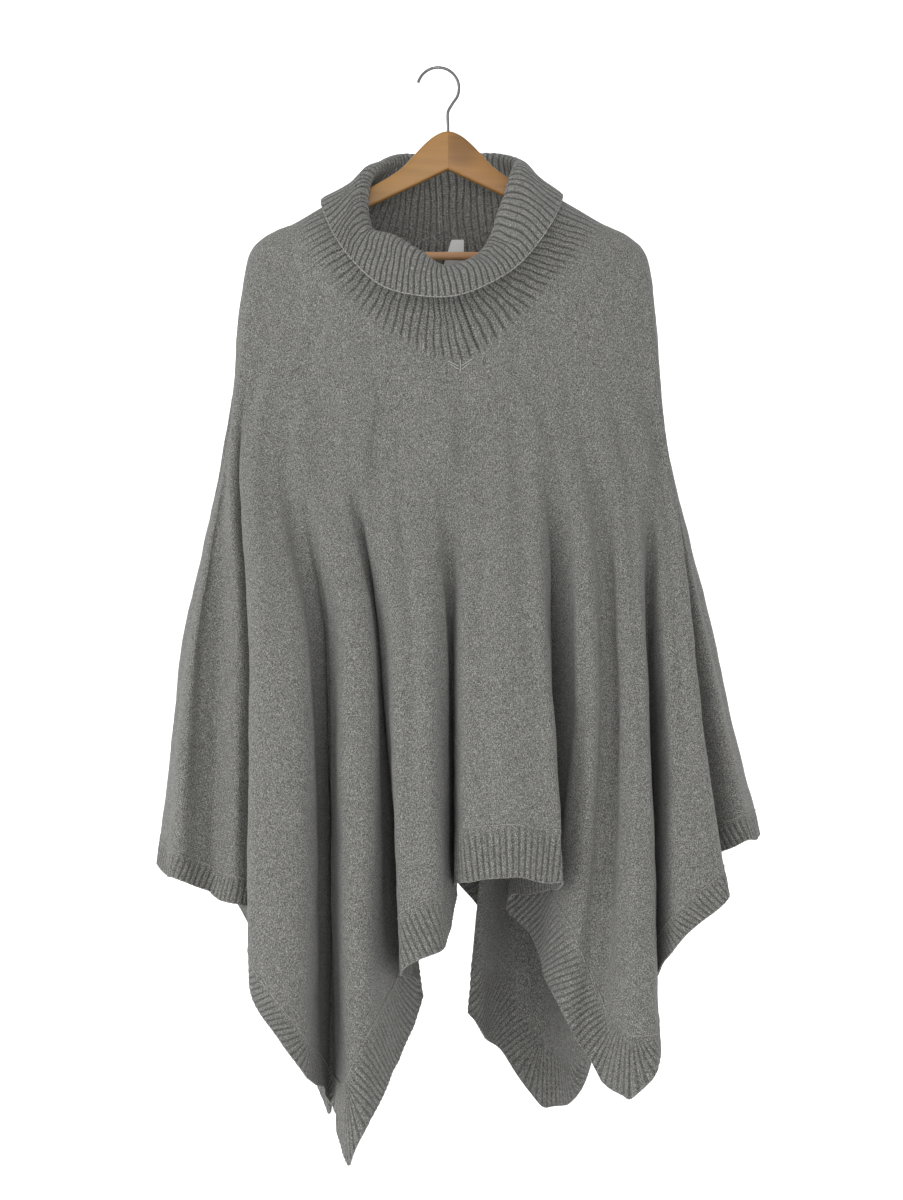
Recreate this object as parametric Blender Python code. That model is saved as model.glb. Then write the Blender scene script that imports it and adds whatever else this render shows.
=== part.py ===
# A knitted poncho sweater with a folded cowl collar, hanging on a wooden hanger.
# Metres, +Z up, the wearer's front faces -Y. The origin is the inner crown of the wire hook.
# Tables are in millimetres, measured from the hanger's centre plane and the hook's crown.

import math
import bpy
from mathutils import Vector

MM = 0.001
UP = Vector((0.0, 0.0, 1.0))

# Driving dimensions, in millimetres
WALL = 2.0                # knitted wall
SEAM = 0.3                # gap between neighbouring pieces
NECK_SEAM_LIFT = 2.4      # the collar turns up sharply, so its rim starts this far above the seam
STEM_OFFSET = 11.0        # centre plane to the right of the hook's crown
CHEST_Z = -365.0          # level where the folds begin
WAIST_Z = -650.0          # level of the waist columns of the fold table
YOKE_HALF = 176.0         # half width of the yoke, along the shoulders
TIP_X = 223.0             # hanger tip, where the shoulder turns down
DEPTH_MIDDLE = 62.0       # cloth in front of the centre plane, mid chest
DEPTH_TIP = 28.0          # the same, at the hanger tips
BACK_SHARE = 0.9          # the back stands out less than the front
SLOPE_LENGTH = 35.0       # drop over which the cloth leaves the shoulder ridge
SLOPE_POWER = 0.65
SHOULDER_CROWD = 1.1      # rows crowd up towards the shoulder's turn by this much
GUARD_SHARE = 0.95        # guard points beyond the yoke's edge, inwards, up and down the shoulder
GUARD_LIFT = 8.0
GUARD_PART = 0.2
DEEP_BAND = 55.0          # ribbed hem of front and back
NARROW_BAND = 27.0        # ribbed edge of the arm sides
STEEP_LIMIT = 1.8         # most that a band's height grows where the hem is steep
RIB_COUNT = 92            # ribs round the collar and the yoke
RIB_HEIGHT = 1.3
PLAIN_SHARE = 4           # outer columns for each plain column behind them
MITRE_LIMIT = 1.8         # most that the wall thickens at a sharp fold

COLUMNS_PER_FOLD = 3
UPPER_ROWS = 5
LOWER_ROWS = 7
YOKE_ROWS = 3
YOKE_RIB_FADE = (0.3, 1.0, 0.8, 0.3)   # rib height on each row, from the neck seam down
COLLAR_ROWS = 8
STAND_SHARE = 0.62        # place of the stand's knot between the seam and the roll
STAND_LEAN = 4.0          # how far it leans in
STAND_SAG = 3.0           # and sags
CROWN_IN = 3.0            # the roll's inner knot, inwards and down
CROWN_DROP = 4.0
CROWN_OUT = 10.0          # the roll's outer knot, outwards and down
CROWN_SETTLE = 0.5
FOLD_SHARE = 0.6          # place of the fold-over's knot between the roll and the edge
FOLD_LIFT = 4.0

WOOD_THICK = 11.0
WOOD_BEVEL = 3.5
BAR_RADIUS = 4.75
BAR_Z = -209.6
WIRE_RADIUS = 1.75
BORE_RADIUS = 2.05
BORE_DEPTH = 18.0

# Shoulder ridge and upper silhouette: half width, level
RIDGE = (
    (0.0, -84.0),
    (116.0, -142.0),
    (176.0, -176.0),
    (200.0, -186.0),
    (216.0, -198.0),
    (223.0, -211.0),
    (228.0, -242.0),
    (236.0, -323.0),
    (240.0, -365.0),
)

# Lower edge of the ribbed yoke: x, level
YOKE_FRONT = (
    (-176.0, -176.0),
    (-162.0, -204.0),
    (-127.0, -250.0),
    (-88.0, -288.0),
    (-37.0, -322.0),
    (12.0, -335.0),
    (66.0, -300.0),
    (104.0, -262.0),
    (142.0, -225.0),
    (166.0, -196.0),
    (176.0, -176.0),
)
YOKE_BACK = (
    (-176.0, -176.0),
    (-160.0, -206.0),
    (-110.0, -248.0),
    (-50.0, -272.0),
    (0.0, -279.0),
    (50.0, -272.0),
    (110.0, -248.0),
    (160.0, -206.0),
    (176.0, -176.0),
)

# Fold lines from the left arm edge round the front to the right arm edge.
# share: place across the chest, from -1 at the left to +1 at the right.
# Then the line's place at the waist level and at the hem.
FRONT_FOLDS = (
    # name, share, waist x, waist y, hem x, hem y, hem z
    ("left_side", -1.0, -297, 0, -323, 0, -887),
    ("left_arm_crest", -0.995, -280, -58, -298, -78, -899),
    ("left_arm_valley", -0.985, -252, -26, -259, -32, -916),
    ("left_arm_turn", -0.965, -226, -58, -229, -74, -924),
    ("left_deep_fold", -0.93, -180, -14, -176, -10, -966),
    ("left_front_edge", -0.895, -213, -114, -215, -134, -1003),
    ("left_front_panel", -0.78, -170, -122, -161, -146, -1092),
    ("left_groove", -0.60, -133, -30, -130, -28, -1150),
    ("left_corner", -0.51, -110, -114, -109, -126, -1208),
    ("left_corner_inner", -0.44, -90, -112, -82, -130, -1148),
    ("inner_left_groove", -0.35, -70, -22, -28, -14, -1023),
    ("middle_left_edge", -0.27, -54, -116, -52, -142, -990),
    ("middle_left_panel", -0.13, -21, -120, -11, -144, -970),
    ("middle_left_groove", 0.0, 4, -40, 12, -26, -918),
    ("centre_left", 0.07, 21, -116, 12, -140, -891),
    ("centre", 0.19, 62, -126, 72, -150, -888),
    ("centre_right_edge", 0.31, 106, -122, 128, -144, -899),
    ("middle_right_groove", 0.345, 108, -22, 64, -12, -928),
    ("right_panel_start", 0.40, 132, -78, 98, -36, -975),
    ("right_panel", 0.49, 154, -118, 124, -100, -1041),
    ("right_panel_valley", 0.61, 182, -80, 166, -84, -1112),
    ("right_corner", 0.70, 196, -114, 193, -132, -1131),
    ("right_corner_edge", 0.785, 211, -108, 226, -120, -1092),
    ("right_groove", 0.85, 218, -26, 220, -20, -1040),
    ("right_front_panel", 0.905, 236, -102, 246, -120, -965),
    ("right_front_edge", 0.965, 266, -96, 300, -110, -914),
    ("right_deep_fold", 0.985, 246, -16, 268, -12, -893),
    ("right_arm_crest", 0.995, 284, -50, 326, -64, -859),
)
# From the right arm edge round the back to the left arm edge.
BACK_FOLDS = (
    # name, share, waist x, waist y, hem x, hem y, hem z
    ("right_side", 1.0, 299, 0, 347, 0, -857),
    ("back_right_arm_crest", 0.99, 278, 54, 328, 68, -866),
    ("back_right_arm_groove", 0.95, 240, 22, 288, 20, -892),
    ("back_right_outer_crest", 0.88, 226, 108, 262, 128, -942),
    ("back_right_outer_groove", 0.78, 184, 40, 212, 28, -1006),
    ("back_right_crest", 0.69, 170, 118, 188, 138, -1072),
    ("back_right_inner_edge", 0.59, 140, 36, 150, 34, -1152),
    ("back_right_corner", 0.51, 120, 100, 108, 90, -1187),
    ("back_right_strip", 0.43, 90, 98, 62, 92, -1114),
    ("back_right_strip_edge", 0.35, 58, 34, 26, 40, -1066),
    ("back_right_turn", 0.27, 54, 108, 66, 132, -1006),
    ("back_inner_right_crest", 0.19, 30, 120, 34, 142, -950),
    ("back_middle_right_panel", 0.10, 12, 112, 4, 128, -914),
    ("back_middle_right_groove", 0.0, -14, 32, -24, 22, -884),
    ("back_middle_crest", -0.12, -42, 116, -52, 136, -874),
    ("back_middle_left_groove", -0.21, -64, 44, -70, 24, -878),
    ("back_left_crest", -0.31, -92, 120, -98, 140, -898),
    ("back_left_groove", -0.41, -112, 28, -104, 26, -945),
    ("back_left_panel", -0.52, -138, 112, -146, 134, -1012),
    ("back_left_corner_inner", -0.60, -150, 76, -144, 84, -1110),
    ("back_left_corner", -0.67, -158, 34, -134, 36, -1186),
    ("back_left_corner_outer", -0.74, -176, 84, -164, 92, -1120),
    ("back_left_outer_crest", -0.82, -200, 114, -194, 134, -1050),
    ("back_left_outer_groove", -0.88, -212, 24, -216, 26, -984),
    ("back_left_arm_crest", -0.94, -242, 100, -254, 118, -932),
    ("back_left_arm_groove", -0.975, -252, 20, -274, 20, -901),
    ("back_left_arm_edge", -0.993, -282, 52, -308, 64, -888),
)

# Cowl collar, from the back centre to the left, the front and the right.
# side: +1 where the neck seam lies on the back, -1 on the front.
COLLAR = (
    # name, side, seam x, seam z, roll x, roll y, roll z, edge x, edge y, edge z, bulge of the fold-over
    ("back", 1, 0, -183, -6, 68, -88, -6, 98, -160, 5),
    ("back_left", 1, -50, -178, -46, 58, -86, -72, 88, -150, 3),
    ("left_back", 1, -94, -157, -68, 32, -97, -122, 56, -144, -4),
    ("left", -1, -108, -138, -85, 2, -114, -141, -12, -149, -9),
    ("left_front", -1, -102, -170, -91, -27, -150, -127, -60, -190, 2),
    ("front_left_side", -1, -83, -202, -84, -46, -186, -106, -74, -222, 5),
    ("front_left", -1, -56, -228, -56, -62, -198, -72, -94, -254, 5),
    ("front_left_middle", -1, -25, -244, -28, -70, -217, -34, -104, -266, 5),
    ("front", -1, 6, -252, -2, -76, -233, 8, -108, -267, 5),
    ("front_right_middle", -1, 40, -240, 28, -70, -221, 50, -100, -250, 5),
    ("front_right", -1, 70, -216, 46, -57, -198, 83, -80, -224, 5),
    ("right_front", -1, 99, -178, 62, -33, -150, 112, -62, -184, 4),
    ("right", -1, 112, -140, 74, -4, -111, 128, -6, -143, -4),
    ("right_back", 1, 96, -157, 76, 26, -98, 116, 50, -140, -2),
    ("back_right", 1, 50, -177, 48, 58, -84, 66, 88, -148, 5),
)

# Hanger arm, right half, seen from the front: x, level
ARM_TOP = (
    (0.0, -70.0),
    (11.0, -73.0),
    (22.0, -80.5),
    (37.5, -96.0),
    (52.0, -111.5),
    (77.0, -127.5),
    (116.0, -147.0),
    (176.0, -179.7),
    (197.0, -190.5),
    (211.0, -202.5),
    (216.0, -212.0),
)
ARM_UNDER = (
    (211.0, -219.5),
    (200.0, -222.0),
    (189.0, -218.0),
    (189.0, -201.0),
    (176.0, -197.5),
    (116.0, -168.0),
    (45.0, -134.6),
    (0.0, -113.0),
)

# Wire hook: arc centre, radius and ends, then the sweep down to the wood
HOOK_CENTRE = (-11.0, -21.55)
HOOK_RADIUS = 23.3
HOOK_TIP_ANGLE = 165.0
HOOK_NECK_ANGLE = -27.0
HOOK_SWEEP = (
    (4.6, -39.5),
    (0.2, -47.5),
    (-0.4, -55.0),
    (0.0, -63.0),
)

LABEL_TOP_WIDTH = 14.0        # narrower where it is caught in the seam
LABEL_LOW_WIDTH = 26.0
LABEL_DROP = 38.0
LABEL_X = 11.0
LABEL_SHIFT = -6.0            # it hangs off to one side by this much at its lower end
LABEL_TOP = -184.0
LABEL_THICK = 0.8
LABEL_ROWS = 3


def slopes(xs, ys):
    """Slopes of a smooth curve through a table that never overshoots it."""
    steps = [(ys[i + 1] - ys[i]) / (xs[i + 1] - xs[i]) for i in range(len(xs) - 1)]
    result = [steps[0]]
    for before, after in zip(steps, steps[1:]):
        if before * after <= 0.0:
            result.append(0.0)
        else:
            result.append(2.0 * before * after / (before + after))
    result.append(steps[-1])
    return result


def table_curve(table, key, value):
    """A function that reads one column of a table smoothly from another."""
    rows = sorted(table, key=lambda row: row[key])
    xs = [row[key] for row in rows]
    ys = [row[value] for row in rows]
    ms = slopes(xs, ys)

    def read(x):
        if x <= xs[0]:
            return ys[0] + ms[0] * (x - xs[0])
        if x >= xs[-1]:
            return ys[-1] + ms[-1] * (x - xs[-1])
        i = max(k for k in range(len(xs) - 1) if xs[k] <= x)
        width = xs[i + 1] - xs[i]
        t = (x - xs[i]) / width
        return hermite(ys[i], ys[i + 1], ms[i] * width, ms[i + 1] * width, t)

    return read


def hermite(start, end, start_slope, end_slope, t):
    """Cubic through two values with given slopes."""
    t2 = t * t
    t3 = t2 * t
    return (
        start * (2.0 * t3 - 3.0 * t2 + 1.0)
        + start_slope * (t3 - 2.0 * t2 + t)
        + end * (3.0 * t2 - 2.0 * t3)
        + end_slope * (t3 - t2)
    )


ridge_level = table_curve(RIDGE, 0, 1)
ridge_half = table_curve(RIDGE, 1, 0)
yoke_front_level = table_curve(YOKE_FRONT, 0, 1)
yoke_back_level = table_curve(YOKE_BACK, 0, 1)


def drape(x, z, side):
    """Depth of the cloth over the hanger; side is -1 on the front, +1 on the back."""
    fall = max(ridge_level(abs(x)) - z, 0.0)
    reach = min((x / TIP_X) ** 2, 1.0)
    depth = DEPTH_MIDDLE + (DEPTH_TIP - DEPTH_MIDDLE) * reach
    leave = (1.0 - math.exp(-fall / SLOPE_LENGTH)) ** SLOPE_POWER
    share = BACK_SHARE if side > 0 else 1.0
    return side * share * depth * leave


def yoke_edge(share, side):
    """Point on the yoke's lower edge."""
    x = share * YOKE_HALF
    level = yoke_front_level if side < 0 else yoke_back_level
    z = level(x)
    return Vector((x, drape(x, z, side), z))


def upper_line(share, side, part):
    """Point on a line from the yoke's edge (part 0) to the chest (part 1)."""
    start = yoke_edge(share, side)
    power = 1.0 + SHOULDER_CROWD * abs(share) ** 4
    z = start.z + (CHEST_Z - start.z) * part ** power
    start_share = start.x / ridge_half(start.z)
    x = ridge_half(z) * (start_share + (share - start_share) * part)
    if abs(share) == 1.0:
        return Vector((share * ridge_half(z), 0.0, z))
    return Vector((x, drape(x, z, side), z))


def fold_line(fold, side):
    """Knots of one fold line from the yoke to the hem."""
    share, waist_x, waist_y, hem_x, hem_y, hem_z = fold[1:]
    upper = [upper_line(share, side, row / UPPER_ROWS) for row in range(UPPER_ROWS + 1)]
    waist = Vector((waist_x, waist_y, WAIST_Z))
    hem = Vector((hem_x, hem_y, hem_z))
    return upper, waist, hem


def lower_point(upper, waist, hem, z):
    """Point of a fold line below the chest, at a given level."""
    chest = upper[-1]
    before = upper[-2]
    span_a = waist.z - chest.z
    span_b = hem.z - waist.z
    slope_top = (chest - before) / min(chest.z - before.z, -1.0)
    slope_mid = ((waist - chest) / span_a + (hem - waist) / span_b) * 0.5
    slope_end = (hem - waist) / span_b
    if z >= waist.z:
        t = (z - chest.z) / span_a
        ends = (chest, waist, slope_top * span_a, slope_mid * span_a)
    else:
        t = (z - waist.z) / span_b
        ends = (waist, hem, slope_mid * span_b, slope_end * span_b)
    point = Vector([hermite(a, b, c, d, t) for a, b, c, d in zip(*ends)])
    point.z = z
    return point


def hem_steepness(fold):
    """Rise of the hem per length, from one fold line to its two neighbours."""
    i = ALL_NAMES.index(fold[0])
    here = fold[4:7]
    rises = []
    for other in (ALL_FOLDS[i - 1][0], ALL_FOLDS[(i + 1) % len(ALL_FOLDS)][0]):
        there = other[4:7]
        reach = math.hypot(there[0] - here[0], there[1] - here[1])
        rises.append(abs(there[2] - here[2]) / reach)
    return (rises[0] + rises[1]) / 2.0


def band_height(fold):
    """Height of the ribbed hem along a fold line: its knitted depth, taller where the hem is steep."""
    depth = NARROW_BAND if fold[0] in NARROW_LINES else DEEP_BAND
    return depth * min(math.hypot(1.0, hem_steepness(fold)), STEEP_LIMIT)


def line_rows(fold, side):
    """All rows of a fold line: yoke edge, chest, panel edge and hem."""
    upper, waist, hem = fold_line(fold, side)
    height = band_height(fold)
    panel_end = hem.z + height
    rows = [point.copy() for point in upper]
    for row in range(1, LOWER_ROWS + 1):
        z = CHEST_Z + (panel_end - CHEST_Z) * row / LOWER_ROWS
        rows.append(lower_point(upper, waist, hem, z))
    rows.append(hem.copy())
    return rows


CORNERS = ("left_corner", "right_corner", "back_right_corner", "back_left_corner")
ALL_FOLDS = [(fold, -1) for fold in FRONT_FOLDS] + [(fold, 1) for fold in BACK_FOLDS]
ALL_NAMES = [fold[0] for fold, side in ALL_FOLDS]
CORNER_AT = {name: ALL_NAMES.index(name) for name in CORNERS}
NARROW_LINES = (
    ALL_NAMES[: CORNER_AT["left_corner"]]
    + ALL_NAMES[CORNER_AT["right_corner"] + 1: CORNER_AT["back_right_corner"]]
    + ALL_NAMES[CORNER_AT["back_left_corner"] + 1:]
)


def catmull(before, start, end, after, t):
    """Smooth curve through four neighbours, kept calm where their spacing differs."""
    near = max((end - start).length, 1e-6)
    slope_start = (end - before) * (near / (near + (start - before).length + 1e-6))
    slope_end = (after - start) * (near / (near + (after - end).length + 1e-6))
    return Vector([hermite(a, b, c, d, t) for a, b, c, d in zip(start, end, slope_start, slope_end)])


def ring_through(knots, per_step):
    """Closed ring with per_step points for each knot."""
    count = len(knots)
    ring = []
    for i in range(count):
        four = [knots[(i + k) % count] for k in (-1, 0, 1, 2)]
        ring += [catmull(*four, step / per_step) for step in range(per_step)]
    return ring


def body_rings():
    """Rings of the whole body, from the yoke's edge down to the hem."""
    lines = [line_rows(fold, side) for fold, side in ALL_FOLDS]
    rings = []
    for row in range(len(lines[0])):
        ring = ring_through([line[row] for line in lines], COLUMNS_PER_FOLD)
        rings.append(ring)
    for row in range(UPPER_ROWS + 1):
        rings[row] = upper_ring(row)
    return rings


def above_yoke_edge():
    """Guard ring just above the yoke's edge, on the same draped surface."""
    ring = []
    for point in upper_ring(0):
        x = point.x * GUARD_SHARE
        side = -1 if point.y < 0.0 else 1
        z = point.z + GUARD_LIFT
        if abs(point.y) < 1e-6:
            z = ridge_level(abs(x))
        ring.append(Vector((x, drape(x, z, side), z)))
    return ring


def upper_ring(row):
    """Ring above the chest, every point on the draped shoulder surface."""
    shares = [(fold[1], side) for fold, side in ALL_FOLDS]
    ring = []
    for i, (share, side) in enumerate(shares):
        next_share = shares[(i + 1) % len(shares)][0]
        for step in range(COLUMNS_PER_FOLD):
            between = share + (next_share - share) * step / COLUMNS_PER_FOLD
            ring.append(upper_line(between, side, row / UPPER_ROWS))
    return ring


# ---------- meshes ----------

def vertex_normals(points, faces):
    """Normals of a point list, longer where the cloth turns sharply so that its wall stays thick."""
    sums = [Vector((0.0, 0.0, 0.0)) for _ in points]
    counts = [0] * len(points)
    for face in faces:
        corners = [points[k] for k in face]
        normal = (corners[2] - corners[0]).cross(corners[-1] - corners[1]).normalized()
        for k in face:
            sums[k] += normal
            counts[k] += 1
    normals = []
    for total, count in zip(sums, counts):
        turn = total.length / max(count, 1)
        normals.append(total.normalized() * min(1.0 / max(turn, 0.1), MITRE_LIMIT))
    return normals


def grid_faces(rows, columns, closed):
    """Quads of a grid of rows and columns."""
    faces = []
    wide = columns if closed else columns - 1
    for r in range(rows - 1):
        for c in range(wide):
            d = (c + 1) % columns
            faces.append((r * columns + c, (r + 1) * columns + c, (r + 1) * columns + d, r * columns + d))
    return faces


def new_object(name, points, faces, material):
    """Object with its origin on the hanger's centre plane, under the root."""
    mesh = bpy.data.meshes.new(name)
    mesh.from_pydata([tuple(point * MM) for point in points], [], faces)
    mesh.validate()
    obj = bpy.data.objects.new(name, mesh)
    bpy.context.scene.collection.objects.link(obj)
    obj.parent = root
    mesh.materials.append(material)
    mesh.shade_smooth()
    return obj


def grid_normals(grid, closed, guard_top=None, guard_bottom=None):
    """Normals of a grid's points; guard rows beyond its ends steady the end rows."""
    full = [guard_top] * (guard_top is not None) + list(grid) + [guard_bottom] * (guard_bottom is not None)
    columns = len(grid[0])
    points = [point for ring in full for point in ring]
    normals = vertex_normals(points, grid_faces(len(full), columns, closed))
    first = columns if guard_top is not None else 0
    flat = normals[first: first + len(grid) * columns]
    return [flat[r * columns: (r + 1) * columns] for r in range(len(grid))]


def moved(grid, normals, distance):
    """Grid moved along its normals."""
    return [[p + n * distance for p, n in zip(ring, row)] for ring, row in zip(grid, normals)]


def grid_triangles(grid, closed):
    """Triangles of a grid, each quad split along its shorter diagonal."""
    columns = len(grid[0])
    points = [point for ring in grid for point in ring]
    faces = []
    for a, b, c, d in grid_faces(len(grid), columns, closed):
        if (points[a] - points[c]).length <= (points[b] - points[d]).length:
            faces += [(a, b, c), (a, c, d)]
        else:
            faces += [(a, b, d), (b, c, d)]
    return faces


def wall_between(outer, inner):
    """Closed sheet-like wall between an outer and an inner grid with open sides."""
    rows = len(outer)
    columns = len(outer[0])
    points = [point for ring in outer for point in ring] + [point for ring in inner for point in ring]
    count = rows * columns
    faces = grid_triangles(outer, False)
    faces += [tuple(k + count for k in reversed(face)) for face in list(faces)]
    last = (rows - 1) * columns
    for c in range(columns - 1):
        d = c + 1
        faces += [(d, d + count, c), (d + count, c + count, c)]
        faces += [(last + c, last + c + count, last + d + count), (last + c, last + d + count, last + d)]
    for r in range(rows - 1):
        a = r * columns
        b = a + columns
        faces += [(a, a + count, b + count), (a, b + count, b)]
        e = a + columns - 1
        f = b + columns - 1
        faces += [(f, f + count, e), (f + count, e + count, e)]
    return points, faces


def cut_from(rings, first_row, last_row, start, end):
    """Rows and columns of the body; start and end count columns round the ring."""
    columns = len(rings[0])
    span = range(start, end + 1)
    return [[rings[row][c % columns].copy() for c in span] for row in range(first_row, last_row + 1)]


def move_towards(start, end, distance):
    """Point a short way from start towards end."""
    return start + (end - start).normalized() * distance


def trimmed_row(row, inward, distance):
    """Edge row moved towards the row inside it, square to the edge's own run."""
    result = []
    last = len(row) - 1
    for c, (point, inside) in enumerate(zip(row, inward)):
        run = (row[min(c + 1, last)] - row[max(c - 1, 0)]).normalized()
        step = (inside - point).normalized()
        slant = (step - run * step.dot(run)).length
        result.append(point + step * (distance / max(slant, 0.25)))
    return result


def trim_edges(grid, top, bottom, sides):
    """Half a seam gap taken off the named edges of a grid."""
    half = SEAM * 0.5
    if sides:
        for row in grid:
            row[0] = move_towards(row[0], row[1], half)
            row[-1] = move_towards(row[-1], row[-2], half)
    if top:
        grid[0] = trimmed_row(grid[0], grid[1], half)
    if bottom:
        grid[-1] = trimmed_row(grid[-1], grid[-2], half)
    return grid


def cloth_panel(name, walls, rows, span, trims, material):
    """One cut piece of the body, from the body's outer and inner surfaces."""
    pieces = [trim_edges(cut_from(wall, *rows, *span), *trims, True) for wall in walls]
    points, faces = wall_between(*pieces)
    return new_object(name, points, faces, material)


def ribbed_ring(name, grid, normals, rib_heights, material):
    """Closed wall whose outer face carries ribs and whose other face is plain."""
    rows = len(grid)
    columns = len(grid[0])
    coarse = columns // PLAIN_SHARE
    outer = []
    inner = []
    for r in range(rows):
        for c in range(columns):
            raised = rib_heights[r] if c % 2 == 0 else 0.0
            outer.append(grid[r][c] + normals[r][c] * (WALL * 0.5 + raised))
        for c in range(0, columns, PLAIN_SHARE):
            inner.append(grid[r][c] - normals[r][c] * WALL * 0.5)
    count = len(outer)
    outer_rows = [outer[r * columns: (r + 1) * columns] for r in range(rows)]
    inner_rows = [inner[r * coarse: (r + 1) * coarse] for r in range(rows)]
    faces = grid_triangles(outer_rows, True)
    faces += [tuple(k + count for k in reversed(face)) for face in grid_triangles(inner_rows, True)]
    faces += rim_faces(0, count, columns, coarse, False)
    faces += rim_faces((rows - 1) * columns, count + (rows - 1) * coarse, columns, coarse, True)
    return new_object(name, outer + inner, faces, material)


def rim_faces(outer_start, inner_start, columns, coarse, flip):
    """Triangles that join a fine ring to a plain one with fewer points."""
    half = PLAIN_SHARE // 2
    faces = []
    for c in range(coarse):
        here = inner_start + c
        there = inner_start + (c + 1) % coarse
        for step in range(PLAIN_SHARE):
            a = outer_start + c * PLAIN_SHARE + step
            b = outer_start + (c * PLAIN_SHARE + step + 1) % columns
            faces.append((b, here if step < half else there, a))
        middle = outer_start + c * PLAIN_SHARE + half
        faces.append((middle, there, here))
    if flip:
        faces = [tuple(reversed(face)) for face in faces]
    return faces


# ---------- neck ----------

def collar_rows():
    """Knots of the collar's sections: seam, stand, roll, fold-over and edge."""
    rows = []
    for name, side, seam_x, seam_z, rx, ry, rz, ex, ey, ez, bulge in COLLAR:
        seam = Vector((seam_x, drape(seam_x, seam_z, side), seam_z))
        if name in ("left", "right"):
            seam.y = 0.0
        roll = Vector((rx, ry, rz))
        edge = Vector((ex, ey, ez))
        outward = Vector((edge.x - roll.x, edge.y - roll.y, 0.0)).normalized()
        stand = seam.lerp(roll, STAND_SHARE) - outward * STAND_LEAN - UP * STAND_SAG
        crown_in = roll - outward * CROWN_IN - UP * CROWN_DROP
        crown_out = roll + outward * CROWN_OUT - UP * CROWN_SETTLE
        fold = roll.lerp(edge, FOLD_SHARE) + outward * bulge + UP * FOLD_LIFT
        rows.append((seam, stand, crown_in, roll, crown_out, fold, edge))
    return rows


def neck_seam_ring(columns):
    """Closed ring along the neck seam."""
    return ring_of_columns([row[0] for row in collar_rows()], columns)


def ring_of_columns(knots, columns):
    """Closed ring through knots, with a given number of points."""
    count = len(knots)
    ring = []
    for c in range(columns):
        place = c * count / columns
        i = int(place)
        four = [knots[(i + k) % count] for k in (-1, 0, 1, 2)]
        ring.append(catmull(*four, place - i))
    return ring


def collar_grid():
    """Collar from the neck seam, over the roll, down to the fold-over's edge."""
    columns = RIB_COUNT * 2
    sections = collar_rows()
    knot_rings = [ring_of_columns([row[k] for row in sections], columns) for k in range(7)]
    grid = [[None] * columns for _ in range(COLLAR_ROWS + 1)]
    for c in range(columns):
        profile = [ring[c] for ring in knot_rings]
        for row in range(COLLAR_ROWS + 1):
            grid[row][c] = along_profile(profile, row / COLLAR_ROWS)
    return grid


def along_profile(profile, part):
    """Point at a share of the length of a smooth line through the profile."""
    padded = [profile[0] * 2.0 - profile[1]] + list(profile) + [profile[-1] * 2.0 - profile[-2]]
    fine = []
    for i in range(1, len(padded) - 2):
        fine += [catmull(*padded[i - 1: i + 3], step / 8.0) for step in range(8)]
    fine.append(profile[-1].copy())
    lengths = [0.0]
    for a, b in zip(fine, fine[1:]):
        lengths.append(lengths[-1] + (b - a).length)
    target = part * lengths[-1]
    for i in range(len(fine) - 1):
        if lengths[i + 1] >= target - 1e-9:
            share = (target - lengths[i]) / max(lengths[i + 1] - lengths[i], 1e-9)
            return fine[i].lerp(fine[i + 1], share)
    return fine[-1].copy()


def yoke_grid():
    """Yoke from the neck seam down to its edge, on the draped shoulder surface."""
    columns = RIB_COUNT * 2
    seam = neck_seam_ring(columns)
    grid = [[None] * columns for _ in range(YOKE_ROWS + 1)]
    below = []
    left = columns * 3 // len(COLLAR)
    right = columns * 12 // len(COLLAR)
    for c, top in enumerate(seam):
        front = left < c < right
        side = -1 if front else 1
        share = yoke_share(c, left, right, columns)
        bottom = yoke_edge(share, side)
        below.append(upper_line(share, side, GUARD_PART))
        for row in range(YOKE_ROWS + 1):
            part = row / YOKE_ROWS
            x = top.x + (bottom.x - top.x) * part
            z = top.z + (bottom.z - top.z) * part
            grid[row][c] = Vector((x, drape(x, z, side), z))
        grid[0][c] = top.copy()
    return grid, below


def yoke_share(c, left, right, columns):
    """Where a rib of the yoke meets the yoke's edge, from -1 at the left to +1."""
    if left <= c <= right:
        turn = (c - left) / (right - left)
        return -math.cos(math.pi * turn)
    turn = ((c - right) % columns) / (columns - (right - left))
    return math.cos(math.pi * turn)


def neck_yoke(material):
    """Ribbed yoke with ribs that fade out towards its edge."""
    grid, below = yoke_grid()
    normals = grid_normals(grid, True, None, below)
    trim_edges(grid, True, True, False)
    heights = [RIB_HEIGHT * share for share in YOKE_RIB_FADE]
    return ribbed_ring("neck_yoke", grid, normals, heights, material)


def cowl_collar(material):
    """Ribbed collar: the face that shows is the tube's inner face."""
    grid = collar_grid()
    grid[0] = [move_towards(a, b, NECK_SEAM_LIFT) for a, b in zip(grid[0], grid[1])]
    heights = [RIB_HEIGHT * YOKE_RIB_FADE[0]] + [RIB_HEIGHT] * COLLAR_ROWS
    return ribbed_ring("cowl_collar", grid, grid_normals(grid, True), heights, material)


def neck_label(material):
    """Blank woven label hanging from the back neck seam."""
    grid = []
    for row in range(LABEL_ROWS + 1):
        part = row / LABEL_ROWS
        z = LABEL_TOP - LABEL_DROP * part
        width = LABEL_TOP_WIDTH + (LABEL_LOW_WIDTH - LABEL_TOP_WIDTH) * part
        line = []
        for column in range(3):
            x = LABEL_X + LABEL_SHIFT * part + width * (column / 2.0 - 0.5)
            y = drape(x, z, 1) - WALL * 0.5 - LABEL_THICK * 0.5 - SEAM
            line.append(Vector((x, y, z)))
        grid.append(line)
    normals = grid_normals(grid, False)
    outer = moved(grid, normals, LABEL_THICK * 0.5)
    inner = moved(grid, normals, -LABEL_THICK * 0.5)
    points, faces = wall_between(outer, inner)
    return new_object("neck_label", points, faces, material)


# ---------- hanger ----------

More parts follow.
